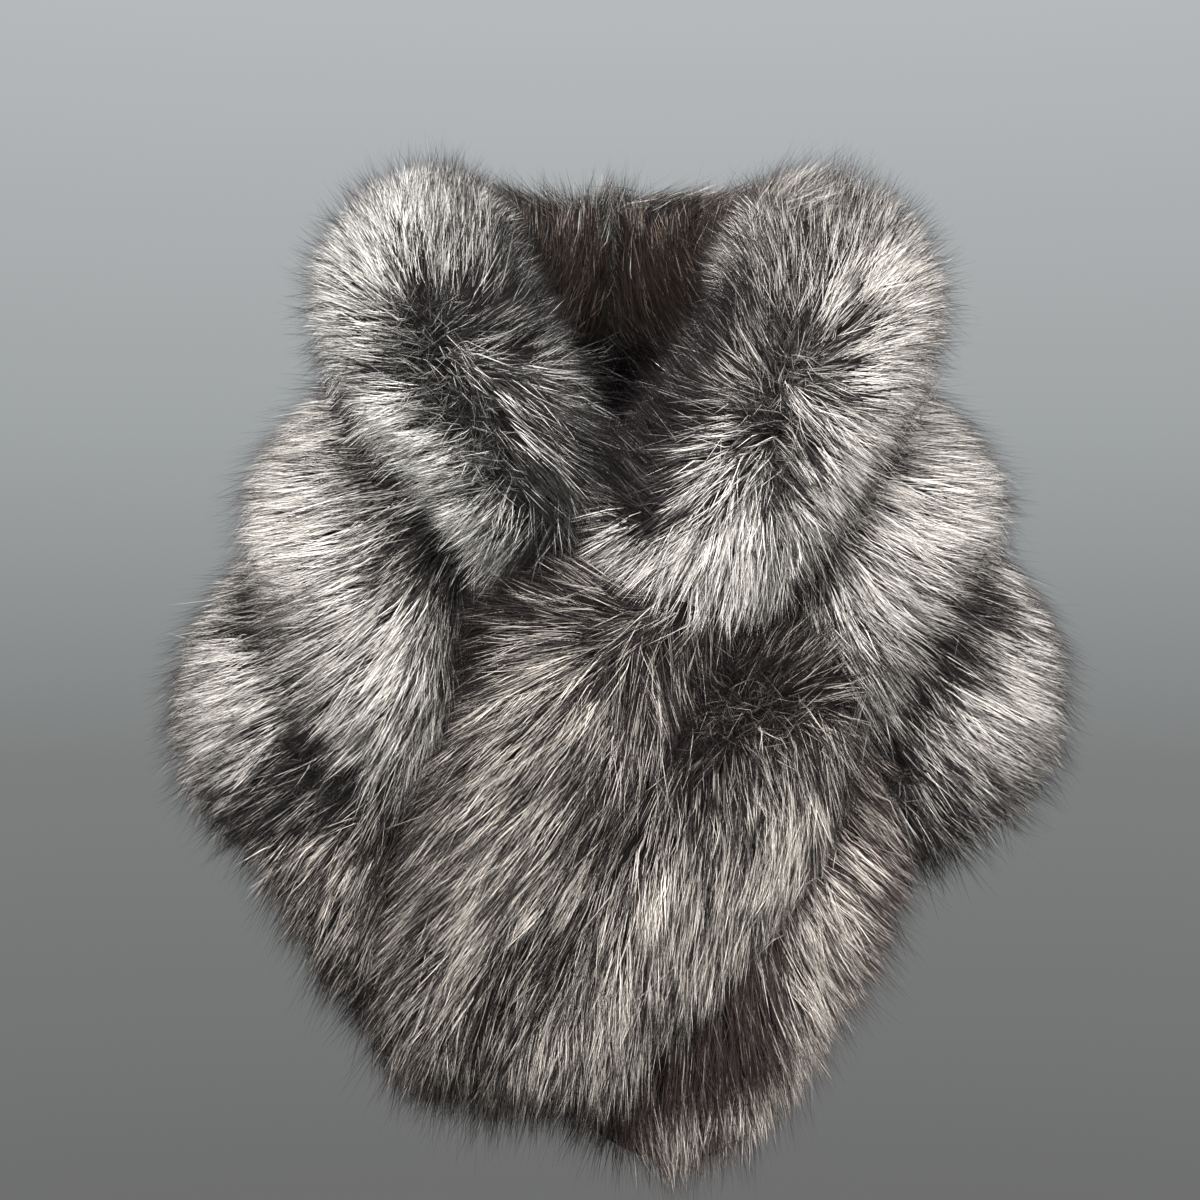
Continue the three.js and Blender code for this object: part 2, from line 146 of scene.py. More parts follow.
SLANT = 0.8  # how far aslant of straight outwards the leather stays covered

# The camera stands here, and the furrier's chart is seen from here. The chart is drawn on an upright
# sheet that runs through the front of the cape.
VIEWPOINT = np.array((-0.008, -2.0, -0.204))
CHART_Y = -0.13
CAPE_REACH = (1.75, 2.2)  # how far the cape is from there, at its nearest and farthest

# How flat the pile lies (0 to 1) and how long it is (mm) on each piece.
PILE = {
    "collar_right": (0.80, 66),
    "collar_left": (0.80, 67),
    "upper_tier_right": (0.87, 76),
    "upper_tier_left": (0.87, 76),
    "lower_tier_right": (0.86, 74),
    "lower_tier_left": (0.86, 74),
    "front_right_hem": (0.87, 74),
    "front_left_band": (0.88, 82),
    "front_left_centre": (0.89, 76),
    "front_left_side": (0.89, 76),
}

# Which pelt each piece is cut from.
PELT_OF = {
    "collar_right": "silver_guard_hair",
    "collar_left": "pearl_guard_hair",
    "upper_tier_right": "pearl_guard_hair",
    "upper_tier_left": "pearl_guard_hair",
    "lower_tier_right": "pearl_guard_hair",
    "lower_tier_left": "pearl_guard_hair",
    "front_right_hem": "beige_guard_hair",
    "front_left_band": "beige_guard_hair",
    "front_left_centre": "beige_guard_hair",
    "front_left_side": "plum_guard_hair",
}

# Each pelt: tint of its silver hair, tint of its dark hair, colour of the roots, colour of the tips.
PELTS = {
    "silver_guard_hair": ((1, 0.965, 0.91), (1, 0.90, 0.88), (0.012, 0.010, 0.010), (0.006, 0.005, 0.006)),
    "pearl_guard_hair": ((1, 0.94, 0.875), (1, 0.86, 0.86), (0.014, 0.010, 0.010), (0.008, 0.006, 0.007)),
    "beige_guard_hair": ((0.98, 0.89, 0.80), (0.9, 0.73, 0.71), (0.016, 0.011, 0.011), (0.009, 0.007, 0.007)),
    "plum_guard_hair": ((0.98, 0.88, 0.79), (1.8, 1.25, 1.22), (0.026, 0.017, 0.017), (0.013, 0.009, 0.009)),
    "brown_nape_hair": ((0.50, 0.38, 0.31), (1.3, 0.98, 0.84), (0.040, 0.030, 0.025), (0.056, 0.041, 0.034)),
}
# How bright a hair is at each tone, from the blackest to the whitest.
TONE_LEVELS = ((0.0, 0.006), (0.2, 0.032), (0.4, 0.13), (0.6, 0.38), (0.8, 0.71), (1.0, 0.96))
DARK_TO = 0.3  # up to this tone a hair takes the tint of dark hair
# How much of its silver shows along a hair, from its root to its tip.
SILVER_BAND = ((0.0, 0), (0.15, 0.05), (0.38, 0.85), (0.5, 1), (0.82, 1), (0.97, 0.12))

# Whorls, where the pile is short and stands up: place on the chart, radius (mm) and how silver (%).
WHORLS = {
    "collar_right": (
        (-148, 12, 20, 24), (-146, -10, 16, 22), (-138, -35, 17, 22), (-118, -62, 19, 20), (-98, -85, 15, 22),
        (-90, -108, 13, 24),
    ),
    "collar_left": (
        (128, 6, 11, 24), (136, -25, 15, 20), (116, -53, 14, 22), (126, -88, 12, 22), (134, -118, 12, 20),
    ),
    "front_left_centre": ((92, -292, 30, 26), (118, -280, 26, 22)),
    "lower_tier_left": ((200, -328, 22, 8),),
    "lower_tier_right": ((-215, -328, 18, 8),),
}

# Partings, where the dark base of the pile shows, and where shade falls under the edge of the row above. That
# shade is painted shade, darkening the hair's silver. Each: half width (mm), how dark (0 to 1), line on the
# chart.
PARTINGS_AND_PAINTED_SHADE = {
    "collar_right": (
        (8, 0.6, ((-120, 10), (-102, 14), (-86, 24))),
        (12, 0.85, ((-60, -118), (-46, -134), (-42, -155), (-60, -174))),
    ),
    "collar_left": (
        (15, 0.95, ((66, 0), (56, -25), (50, -48), (42, -72), (34, -96), (26, -120), (20, -142))),
        (7, 0.7, ((64, 24), (86, 28), (106, 27))),
        (6, 0.6, ((150, -22), (160, -24))),
        (6, 0.5, ((118, -128), (119, -150))),
    ),
    "upper_tier_right": (
        (11, 0.97, ((-200, -30), (-200, -60), (-192, -78), (-178, -95), (-160, -112), (-148, -132),
                    (-145, -150))),
        (9, 0.95, ((-145, -150), (-133, -168), (-125, -185), (-112, -200))),
    ),
    "upper_tier_left": (
        (7, 0.70, ((215, -52), (208, -85), (198, -108), (182, -130), (168, -145))),
        (9, 0.85, ((168, -145), (152, -165), (138, -185), (125, -205), (105, -228))),
    ),
    "lower_tier_right": (
        (9, 0.65, ((-272, -190), (-272, -208), (-256, -250), (-238, -288), (-214, -320))),
        (13, 0.85, ((-232, -318), (-215, -326), (-198, -335), (-178, -346))),
    ),
    "lower_tier_left": (
        (13, 0.92, ((282, -206), (266, -224), (252, -243), (239, -264), (223, -288), (209, -312))),
        (16, 0.88, ((188, -322), (205, -335), (186, -352), (192, -372))),
    ),
    "front_right_hem": ((14, 0.92, ((-146, -370), (-149, -400), (-147, -425), (-144, -450), (-150, -480))),),
    "front_left_band": (
        (15, 0.95, ((-50, -150), (-70, -175), (-86, -200), (-100, -225), (-104, -250))),
        (6, 0.60, ((-92, -485), (-96, -510), (-97, -540))),
    ),
    "front_left_centre": (
        (26, 0.95, ((74, -292), (95, -286), (120, -276))),
        (7, 0.85, ((28, -335), (8, -356), (-12, -374), (-38, -394))),
        (8, 0.70, ((-62, -450), (-80, -474), (-92, -500), (-94, -530))),
    ),
    "front_left_side": (
        (6, 0.90, ((140, -390), (118, -424), (100, -438), (84, -464), (72, -494), (68, -520))),
        (22, 0.97, ((104, -538), (82, -542), (60, -550), (38, -562), (16, -576), (0, -586))),
    ),
}

# The chart itself: lines that the pile follows, each from the base of the row to its tips. Each point
# has its x and z on the sheet (mm) and how silver the pile is there (%). Where a line crosses a parting, its
# low silver is partly painted shade.
COMBING = {}
COMBING["collar_right"] = (
    # its outer side, from the crown of the roll out to the tips
    ((-150, 25, 25), (-155, 55, 75), (-150, 90, 92), (-140, 115, 70)),
    ((-155, 22, 30), (-170, 45, 80), (-182, 70, 96), (-195, 90, 60)),
    ((-160, 18, 30), (-180, 35, 85), (-200, 50, 98), (-215, 62, 60)),
    ((-160, 10, 25), (-185, 15, 80), (-205, 22, 100), (-222, 30, 60)),
    ((-158, -5, 25), (-180, -3, 75), (-205, -2, 100), (-222, -2, 60)),
    ((-155, -20, 25), (-180, -20, 70), (-205, -22, 95), (-220, -25, 50)),
    ((-150, -38, 20), (-170, -35, 55), (-185, -32, 40), (-195, -30, 15)),
    ((-148, -50, 20), (-165, -50, 78), (-182, -50, 95), (-190, -50, 60)),
    ((-135, -62, 20), (-155, -68, 75), (-172, -75, 100), (-182, -78, 70)),
    ((-125, -80, 25), (-140, -88, 88), (-158, -92, 100), (-165, -95, 70)),
    ((-110, -95, 25), (-128, -103, 85), (-142, -107, 100), (-150, -110, 70)),
    ((-98, -112, 20), (-115, -120, 78), (-132, -122, 95), (-142, -124, 55)),
    ((-92, -125, 25), (-108, -138, 80), (-125, -142, 95), (-138, -142, 55)),
    ((-85, -130, 30), (-98, -148, 70), (-115, -158, 90), (-128, -162, 60)),
    ((-75, -125, 35), (-82, -150, 65), (-95, -168, 75), (-110, -178, 70), (-118, -184, 50)),
    ((-62, -135, 30), (-72, -155, 45), (-85, -178, 60), (-100, -190, 60), (-110, -196, 45)),
    # its top
    ((-130, 30, 30), (-130, 60, 60), (-128, 90, 85), (-128, 118, 65)),
    ((-115, 30, 30), (-112, 60, 58), (-110, 90, 68), (-112, 112, 50)),
    ((-100, 40, 25), (-97, 65, 60), (-100, 90, 60), (-105, 108, 40)),
    ((-85, 40, 12), (-80, 58, 35), (-76, 75, 15)),
    ((-50, 92, 12), (-70, 96, 14), (-90, 100, 22)),
    ((-60, 60, 5), (-62, 75, 8), (-66, 90, 12)),
    # its inner side, by the neck and down the chest
    ((-125, 5, 20), (-100, 15, 12), (-85, 30, 20), (-80, 45, 24)),
    ((-110, -5, 22), (-85, 5, 16), (-65, 20, 10), (-55, 38, 8)),
    ((-100, -15, 29), (-75, -8, 32), (-50, 5, 12), (-38, 25, 8)),
    ((-95, -25, 32), (-70, -22, 39), (-48, -12, 26), (-30, 5, 12)),
    ((-85, -30, 26), (-60, -35, 36), (-40, -38, 30), (-22, -35, 24)),
    ((-115, -20, 24), (-100, -40, 36), (-85, -62, 46), (-70, -85, 34)),
    ((-95, -25, 26), (-80, -45, 42), (-62, -68, 42), (-45, -85, 30), (-32, -95, 24)),
    ((-75, -30, 20), (-60, -50, 18), (-45, -70, 32), (-30, -85, 30), (-20, -90, 15)),
    ((-60, -35, 26), (-45, -50, 30), (-30, -62, 30), (-18, -72, 16)),
    ((-105, -55, 22), (-92, -75, 26), (-80, -95, 26), (-65, -110, 28)),
    ((-75, -70, 30), (-60, -92, 32), (-45, -112, 30), (-30, -135, 22)),
    ((-50, -80, 26), (-35, -100, 26), (-20, -120, 20), (-10, -142, 12)),
    ((-35, -80, 20), (-20, -105, 14), (-5, -130, 10), (0, -150, 8)),
    ((-80, -105, 22), (-65, -118, 14), (-50, -130, 10), (-40, -142, 10)),
    ((-45, -140, 32), (-58, -148, 32), (-70, -165, 24), (-85, -180, 32)),
    ((-40, -145, 8), (-50, -165, 5), (-65, -180, 8), (-80, -192, 26)),
)
COMBING["collar_left"] = (
    # the fan over its crown
    ((130, 5, 32), (128, 30, 48), (122, 60, 50), (115, 85, 42), (105, 100, 58)),
    ((135, 0, 38), (140, 30, 44), (142, 60, 42), (140, 88, 36)),
    ((145, 0, 42), (155, 30, 48), (160, 60, 42), (162, 90, 58), (165, 112, 46)),
    ((150, -5, 42), (165, 15, 58), (178, 40, 52), (185, 65, 52), (190, 95, 36)),
    ((155, -8, 48), (172, 8, 64), (190, 35, 82), (203, 60, 84), (212, 78, 46)),
    ((155, -12, 42), (180, 5, 60), (200, 25, 92), (218, 42, 94), (232, 52, 60)),
    ((155, -18, 36), (180, -8, 52), (205, 8, 96), (225, 18, 100), (240, 24, 60)),
    ((155, -25, 28), (180, -18, 52), (205, -10, 94), (228, -8, 100), (242, -6, 60)),
    ((155, -32, 32), (180, -30, 58), (205, -28, 94), (222, -28, 98), (235, -30, 50)),
    ((155, -40, 34), (178, -48, 58), (200, -48, 88), (215, -50, 68)),
    ((150, -48, 30), (170, -62, 52), (188, -72, 84), (202, -80, 82), (210, -86, 46)),
    ((145, -50, 28), (158, -72, 46), (175, -92, 84), (190, -104, 82), (198, -110, 42)),
    ((138, -50, 28), (146, -78, 44), (160, -102, 76), (175, -122, 88), (182, -130, 42)),
    ((140, -90, 42), (150, -110, 70), (162, -128, 88), (170, -138, 46)),
    # its foot, falling over the front
    ((138, -118, 22), (145, -132, 64), (152, -148, 78), (155, -158, 42)),
    ((130, -122, 26), (133, -140, 58), (136, -158, 88), (135, -172, 58)),
    ((122, -120, 22), (120, -140, 38), (118, -160, 74), (115, -180, 94), (108, -200, 74)),
    ((115, -115, 36), (108, -135, 82), (102, -155, 94), (98, -178, 98), (92, -200, 92), (84, -225, 70)),
    ((105, -110, 42), (92, -135, 64), (82, -160, 82), (74, -185, 94), (66, -215, 88), (58, -245, 80)),
    ((100, -100, 42), (82, -120, 64), (65, -142, 76), (52, -165, 76), (42, -190, 78), (32, -220, 84)),
    ((98, -92, 36), (75, -105, 58), (58, -118, 68), (42, -135, 58), (25, -152, 58), (10, -165, 52)),
    ((105, -82, 36), (85, -92, 42), (68, -100, 52), (52, -108, 42), (44, -113, 26)),
    ((80, -130, 52), (58, -155, 64), (35, -175, 70), (12, -195, 70), (-8, -215, 48), (-20, -232, 34)),
    ((60, -140, 52), (38, -158, 62), (15, -175, 62), (-8, -190, 48), (-22, -200, 28)),
    ((70, -165, 76), (55, -190, 82), (38, -215, 84), (20, -240, 62), (5, -258, 40)),
    ((85, -190, 92), (72, -220, 94), (60, -245, 88), (50, -265, 60)),
    # its inner side, by the neck
    ((110, -60, 30), (90, -62, 30), (72, -62, 36), (58, -60, 30)),
    ((105, -70, 20), (85, -75, 46), (65, -82, 48), (50, -88, 36)),
    ((110, -48, 30), (95, -38, 42), (80, -28, 40), (70, -20, 26)),
    ((120, -40, 36), (105, -20, 42), (92, 0, 42), (80, 18, 20), (68, 30, 10)),
    ((122, -30, 30), (112, -8, 48), (103, 12, 42), (95, 30, 14), (88, 50, 26)),
    ((122, -5, 30), (115, 18, 42), (108, 40, 42), (100, 62, 62), (92, 78, 52)),
    ((90, 22, 8), (78, 34, 42), (65, 44, 52), (58, 50, 30)),
    ((100, 40, 40), (92, 56, 62), (84, 70, 50), (78, 78, 20)),
    ((65, -30, 5), (55, -10, 5), (45, 10, 6), (38, 25, 6)),
    ((55, -60, 3), (42, -40, 4), (30, -20, 4), (20, -5, 4)),
    ((45, -90, 2), (32, -70, 3), (20, -50, 4), (12, -30, 5)),
    ((40, -120, 3), (25, -100, 4), (10, -85, 4), (0, -70, 5)),
    ((30, -140, 4), (18, -120, 5), (10, -105, 5)),
    # its top edge, behind the neck
    ((10, 128, 16), (35, 118, 62), (60, 110, 72), (85, 108, 66), (100, 100, 54)),
    ((112, 113, 66), (128, 108, 78), (142, 98, 70), (150, 85, 46)),
    ((45, 98, 18), (70, 95, 10), (95, 88, 10), (110, 82, 26)),
    ((60, 70, 6), (75, 78, 22), (92, 84, 22)),
)
COMBING["upper_tier_right"] = (
    ((-205, -45, 40), (-225, -45, 88), (-240, -50, 92), (-255, -55, 55)),
    ((-205, -60, 62), (-225, -62, 98), (-245, -65, 98), (-262, -68, 60)),
    ((-200, -78, 55), (-222, -82, 92), (-245, -85, 94), (-265, -85, 60)),
    ((-195, -98, 50), (-218, -102, 88), (-242, -103, 98), (-268, -105, 65)),
    ((-185, -112, 25), (-208, -122, 70), (-235, -128, 98), (-270, -132, 70)),
    ((-170, -125, 30), (-195, -138, 60), (-220, -147, 88), (-245, -153, 100), (-272, -158, 70)),
    ((-160, -140, 30), (-182, -155, 55), (-208, -168, 76), (-235, -175, 88), (-262, -180, 65)),
    ((-150, -155, 15), (-170, -175, 45), (-195, -190, 70), (-222, -202, 76), (-255, -212, 48)),
    ((-140, -170, 10), (-160, -190, 40), (-182, -210, 60), (-208, -228, 66), (-238, -242, 48)),
    ((-130, -180, 5), (-145, -205, 40), (-165, -228, 60), (-190, -248, 70), (-218, -268, 54),
     (-235, -280, 38)),
    ((-122, -190, 8), (-135, -215, 50), (-150, -240, 70), (-172, -265, 76), (-195, -290, 76),
     (-212, -305, 48)),
    ((-118, -200, 20), (-128, -225, 55), (-142, -255, 76), (-160, -285, 84), (-182, -315, 84),
     (-195, -328, 48)),
    ((-112, -210, 22), (-120, -240, 48), (-132, -272, 76), (-148, -305, 84), (-165, -335, 76),
     (-175, -352, 48)),
    ((-108, -225, 18), (-114, -255, 40), (-124, -290, 66), (-138, -325, 70), (-150, -355, 58)),
    ((-106, -250, 14), (-112, -285, 30), (-120, -315, 42), (-132, -345, 42), (-140, -362, 28)),
)
COMBING["upper_tier_left"] = (
    ((210, -52, 30), (228, -52, 72), (245, -58, 96), (258, -62, 68), (270, -66, 40)),
    ((208, -68, 30), (228, -70, 84), (250, -76, 100), (268, -80, 78), (280, -82, 40)),
    ((208, -88, 30), (230, -92, 84), (252, -96, 100), (272, -98, 84)),
    ((205, -100, 35), (228, -108, 84), (252, -113, 100), (275, -115, 84)),
    ((200, -112, 30), (222, -124, 84), (248, -133, 100), (278, -140, 84)),
    ((192, -125, 25), (212, -142, 78), (238, -153, 100), (262, -160, 96), (282, -165, 62)),
    ((185, -138, 25), (202, -158, 74), (225, -174, 96), (250, -184, 92), (275, -190, 48)),
    ((172, -145, 15), (186, -168, 48), (205, -188, 86), (228, -205, 80), (250, -215, 32)),
    ((165, -155, 15), (175, -180, 42), (190, -205, 68), (210, -225, 74), (225, -238, 28)),
    ((155, -165, 12), (162, -190, 32), (172, -215, 63), (188, -240, 74), (202, -258, 32)),
    ((142, -178, 8), (148, -205, 22), (156, -230, 63), (168, -255, 74), (182, -278, 62), (188, -292, 28)),
    ((130, -195, 6), (134, -215, 18), (140, -235, 50), (150, -255, 68), (160, -280, 72), (168, -305, 62)),
    ((118, -212, 6), (120, -228, 14), (128, -240, 34)),
    ((145, -262, 63), (152, -290, 68), (158, -315, 68), (164, -340, 42)),
)
COMBING["lower_tier_right"] = (
    ((-270, -185, 42), (-285, -186, 98), (-300, -190, 82), (-315, -195, 38)),
    ((-262, -195, 38), (-282, -202, 98), (-300, -206, 82), (-320, -210, 38)),
    ((-245, -212, 20), (-265, -218, 38), (-290, -224, 60), (-315, -230, 50), (-330, -236, 30)),
    ((-235, -228, 20), (-258, -238, 42), (-285, -248, 72), (-315, -258, 66)),
    ((-225, -242, 25), (-250, -256, 84), (-280, -272, 88), (-312, -285, 60)),
    ((-225, -258, 15), (-250, -274, 88), (-280, -292, 76), (-310, -308, 60), (-325, -315, 35)),
    ((-222, -272, 20), (-248, -292, 55), (-275, -312, 66), (-305, -330, 54)),
    ((-215, -290, 30), (-240, -312, 28), (-265, -332, 50), (-290, -352, 42), (-300, -362, 22)),
    ((-205, -308, 20), (-225, -325, 8), (-248, -342, 24), (-270, -360, 24), (-280, -370, 12)),
    ((-195, -325, 10), (-215, -340, 6), (-235, -355, 20), (-258, -372, 20)),
    ((-185, -340, 8), (-200, -350, 8), (-222, -366, 28), (-240, -380, 24)),
)
COMBING["lower_tier_left"] = (
    ((270, -200, 30), (285, -208, 88), (300, -220, 84), (318, -230, 54)),
    ((262, -208, 10), (282, -222, 70), (302, -236, 94), (322, -245, 66), (335, -250, 35)),
    ((255, -220, 8), (275, -238, 42), (298, -254, 84), (322, -266, 84)),
    ((245, -232, 6), (265, -252, 34), (288, -270, 78), (315, -286, 88), (330, -294, 50)),
    ((235, -245, 6), (252, -268, 30), (272, -290, 78), (298, -308, 88), (318, -320, 50)),
    ((222, -258, 6), (238, -282, 34), (258, -305, 66), (282, -326, 72), (302, -340, 40)),
    ((212, -275, 5), (225, -300, 18), (242, -322, 42), (262, -342, 54), (280, -356, 30)),
    ((200, -290, 5), (212, -315, 8), (225, -335, 24), (242, -356, 34), (256, -370, 20)),
    ((190, -310, 5), (200, -330, 5), (212, -350, 18), (225, -372, 34), (235, -390, 18)),
    ((182, -335, 4), (192, -355, 4), (202, -375, 14), (212, -395, 20), (218, -405, 10)),
    ((178, -360, 4), (186, -380, 4), (195, -400, 6)),
)
COMBING["front_right_hem"] = (
    ((-205, -365, 28), (-220, -385, 42), (-235, -405, 38), (-242, -420, 20)),
    ((-190, -370, 32), (-202, -395, 48), (-216, -420, 42), (-228, -445, 24)),
    ((-175, -370, 28), (-186, -400, 42), (-198, -430, 44), (-212, -460, 30)),
    ((-162, -372, 18), (-172, -405, 34), (-184, -440, 40), (-198, -475, 34), (-205, -490, 18)),
    ((-150, -385, 8), (-160, -420, 14), (-170, -455, 28), (-184, -490, 28), (-195, -510, 14)),
    ((-140, -410, 5), (-150, -445, 8), (-158, -480, 12), (-166, -515, 12)),
    ((-135, -440, 5), (-142, -475, 8), (-148, -510, 10), (-152, -540, 10)),
    ((-110, -520, 10), (-112, -545, 14), (-114, -570, 14)),
)
COMBING["front_left_band"] = (
    # the fan at its top
    ((-20, -180, 18), (-35, -172, 30), (-48, -168, 14), (-62, -165, 5)),
    ((-5, -195, 22), (-25, -185, 38), (-45, -178, 24), (-62, -175, 5)),
    ((-12, -205, 22), (-35, -198, 39), (-55, -194, 22), (-80, -192, 4), (-98, -195, 3)),
    ((-15, -215, 18), (-40, -210, 43), (-62, -210, 36), (-85, -213, 5), (-102, -218, 3)),
    ((-20, -225, 18), (-45, -225, 43), (-70, -228, 37), (-90, -235, 10), (-106, -245, 4)),
    ((-22, -235, 18), (-48, -238, 43), (-72, -245, 43), (-95, -258, 28), (-110, -270, 8)),
    ((-20, -242, 28), (-45, -252, 50), (-72, -265, 55), (-98, -282, 49), (-118, -300, 18)),
    ((-10, -245, 28), (-35, -262, 55), (-62, -282, 55), (-88, -302, 57), (-112, -325, 37),
     (-125, -340, 18)),
    # down its length
    ((0, -248, 34), (-20, -270, 55), (-45, -296, 50), (-72, -322, 57), (-98, -350, 59), (-122, -378, 37)),
    ((5, -255, 34), (-8, -280, 55), (-30, -310, 45), (-55, -340, 50), (-82, -372, 63), (-110, -405, 65)),
    ((12, -260, 28), (5, -290, 45), (-14, -322, 45), (-36, -352, 37), (-62, -388, 55), (-90, -424, 75)),
    ((20, -270, 28), (18, -300, 37), (5, -335, 37), (-15, -362, 26), (-40, -395, 37), (-66, -430, 67)),
    ((35, -262, 34), (40, -285, 36), (38, -310, 30), (28, -335, 34), (10, -362, 22)),
    ((48, -262, 20), (52, -285, 16), (48, -312, 20)),
    ((-110, -405, 65), (-135, -430, 39)),
    ((-90, -424, 75), (-118, -458, 69), (-140, -485, 37)),
    ((-80, -440, 67), (-100, -470, 73), (-118, -502, 67), (-130, -525, 40)),
    ((-66, -430, 59), (-82, -460, 57), (-97, -492, 57), (-107, -522, 45), (-113, -545, 34)),
    ((-62, -445, 30), (-80, -475, 24), (-92, -505, 20), (-98, -530, 30), (-100, -558, 28)),
)
COMBING["front_left_centre"] = (
    # out of the crown
    ((100, -290, 3), (80, -280, 3), (68, -270, 4)),
    ((105, -285, 3), (120, -265, 8), (135, -250, 18), (145, -240, 24)),
    ((115, -290, 4), (135, -285, 14), (152, -280, 32)),
    ((85, -310, 3), (70, -318, 5), (58, -325, 10)),
    # down its length
    ((50, -310, 12), (48, -335, 20), (42, -358, 30), (36, -385, 51), (32, -415, 63), (28, -450, 65)),
    ((28, -450, 65), (24, -485, 69), (22, -515, 69), (20, -540, 49)),
    ((35, -335, 14), (26, -360, 20), (14, -385, 33), (4, -415, 53), (-4, -450, 53), (-10, -485, 59)),
    ((-10, -485, 59), (-14, -520, 65), (-18, -550, 57), (-22, -572, 39)),
    ((18, -352, 10), (0, -375, 16), (-18, -398, 32), (-36, -425, 32), (-50, -455, 26), (-62, -485, 32)),
    ((-62, -485, 32), (-72, -515, 46), (-78, -535, 51)),
    ((-10, -375, 12), (-30, -400, 33), (-48, -422, 39), (-62, -445, 24), (-75, -470, 10), (-84, -495, 10)),
    ((-20, -430, 32), (-34, -455, 20), (-46, -480, 20), (-56, -505, 33), (-64, -530, 53), (-70, -555, 46)),
    ((-5, -440, 41), (-18, -470, 41), (-28, -500, 51), (-36, -530, 61), (-44, -560, 51), (-48, -580, 33)),
    ((65, -325, 8), (66, -350, 24), (62, -378, 33), (58, -408, 61), (54, -440, 65), (50, -475, 67)),
    ((50, -475, 67), (46, -505, 65), (42, -525, 49)),
    ((85, -330, 8), (86, -355, 24), (84, -382, 33), (80, -410, 55), (74, -440, 65), (68, -465, 69)),
    ((105, -325, 12), (108, -350, 32), (106, -375, 41), (100, -400, 59), (92, -425, 69), (84, -450, 75)),
    ((122, -330, 32), (126, -352, 51), (124, -375, 41), (116, -398, 59), (106, -420, 75)),
    ((140, -325, 32), (142, -345, 57), (140, -368, 81), (132, -390, 87), (122, -412, 79)),
    ((150, -300, 32), (154, -325, 39), (156, -345, 40)),
)
COMBING["front_left_side"] = (
    ((142, -365, 22), (158, -385, 50), (175, -402, 62), (192, -418, 44), (202, -428, 22)),
    ((142, -385, 18), (156, -405, 55), (172, -428, 62), (190, -448, 44), (205, -462, 28)),
    ((138, -405, 18), (150, -430, 55), (165, -455, 62), (182, -478, 55), (192, -490, 28)),
    ((132, -425, 18), (142, -450, 50), (156, -478, 62), (170, -502, 74), (178, -515, 38)),
    ((125, -435, 14), (133, -462, 38), (145, -492, 55), (157, -522, 84), (163, -540, 48)),
    ((115, -445, 10), (120, -475, 32), (128, -505, 26), (138, -530, 74), (145, -555, 80), (148, -570, 44)),
    ((100, -450, 10), (103, -480, 26), (106, -510, 8), (112, -540, 20), (118, -562, 90), (120, -580, 80)),
    ((88, -465, 8), (90, -495, 16), (92, -525, 4), (96, -555, 5), (98, -574, 50), (98, -592, 60)),
    ((76, -485, 6), (76, -515, 3), (78, -545, 2), (80, -570, 6), (80, -590, 66), (80, -605, 50)),
    ((60, -515, 4), (58, -540, 2), (58, -565, 3), (58, -587, 30), (58, -600, 76), (58, -612, 64)),
    ((40, -535, 4), (36, -560, 3), (36, -582, 8), (38, -600, 70), (40, -612, 64)),
    ((18, -555, 4), (14, -575, 5), (16, -594, 24), (24, -608, 46)),
    ((0, -570, 4), (-6, -582, 5), (-8, -592, 10)),
)

# Rows round the sides and the back: at each height (mm), how silver the pile is (%).
UPPER_ROW = ((-60, 25), (-95, 50), (-140, 80), (-185, 94), (-215, 70))
LOWER_ROW = ((-210, 20), (-260, 45), (-310, 80), (-360, 92), (-415, 65))
# Each tier: its side (-1 is right), the angle from straight ahead at which its row takes over, the row.
TIER_SIDES = {
    "upper_tier_right": (-1, 80, UPPER_ROW),
    "upper_tier_left": (1, 86, UPPER_ROW),
    "lower_tier_right": (-1, 84, LOWER_ROW),
    "lower_tier_left": (1, 84, LOWER_ROW),
}
TIER_SHADES = (1, 0.9, 1, 0.85, 1, 0.9)  # a little less silver from spot to spot
TIER_PILE = 0.060
TIER_ANGLES = 6
BACK_ANGLE = 176  # the last spots are this far round, short of the back seam
COLLAR_SIDES = {"collar_right": -1, "collar_left": 1}
COLLAR_ANGLES = (82, 95, 110, 125, 140, 158, BACK_ANGLE)
COLLAR_PILE = 0.058
NECK_PILE = 0.045
# The collar's outer side, from its top edge down: height (mm), lean outwards, rise, how silver (%).
COLLAR_OUTER = (
    (120, 0.45, 1.0, 55), (95, 0.7, 0.8, 78), (60, 0.95, 0.3, 92), (20, 0.9, -0.5, 92), (-15, 0.5, -1.0, 60),
)
COLLAR_NECK = ((112, 42), (90, 20), (60, 12), (20, 8))  # inside the neck: height (mm), how silver (%)
OUTSIDE = 0.7  # a circle of this radius is clear of the cape

# ---------------------------------------------------------------- handling


def make_active(piece):
    for other in bpy.context.selected_objects:
        other.select_set(False)
    piece.select_set(True)
    bpy.context.view_layer.objects.active = piece


def merged_copy(node, name):
    """A piece's own copy of a node's mesh, with its loose triangles merged."""
    piece = bpy.data.objects.new(name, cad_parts[node].data.copy())
    piece.data.name = name
    bpy.context.scene.collection.objects.link(piece)
    piece.data.materials.clear()
    make_active(piece)
    bpy.ops.object.mode_set(mode="EDIT")
    bpy.ops.mesh.select_all(action="SELECT")
    bpy.ops.mesh.remove_doubles(threshold=MERGE_WITHIN)
    bpy.ops.mesh.normals_make_consistent(inside=False)
    bpy.ops.object.mode_set(mode="OBJECT")
    return piece


def apply_modifiers(piece):
    make_active(piece)
    for modifier in list(piece.modifiers):
        bpy.ops.object.modifier_apply(modifier=modifier.name)


def finish_smooth(piece, material):
    piece.data.materials.append(material)
    for polygon in piece.data.polygons:
        polygon.use_smooth = True


# ---------------------------------------------------------------- materials

MIX_FACTOR, MIX_LOW, MIX_HIGH, MIX_COLOUR = 0, 6, 7, 2  # a mix node's sockets for colours, and its output


def grey(value):
    return (value,) * 3


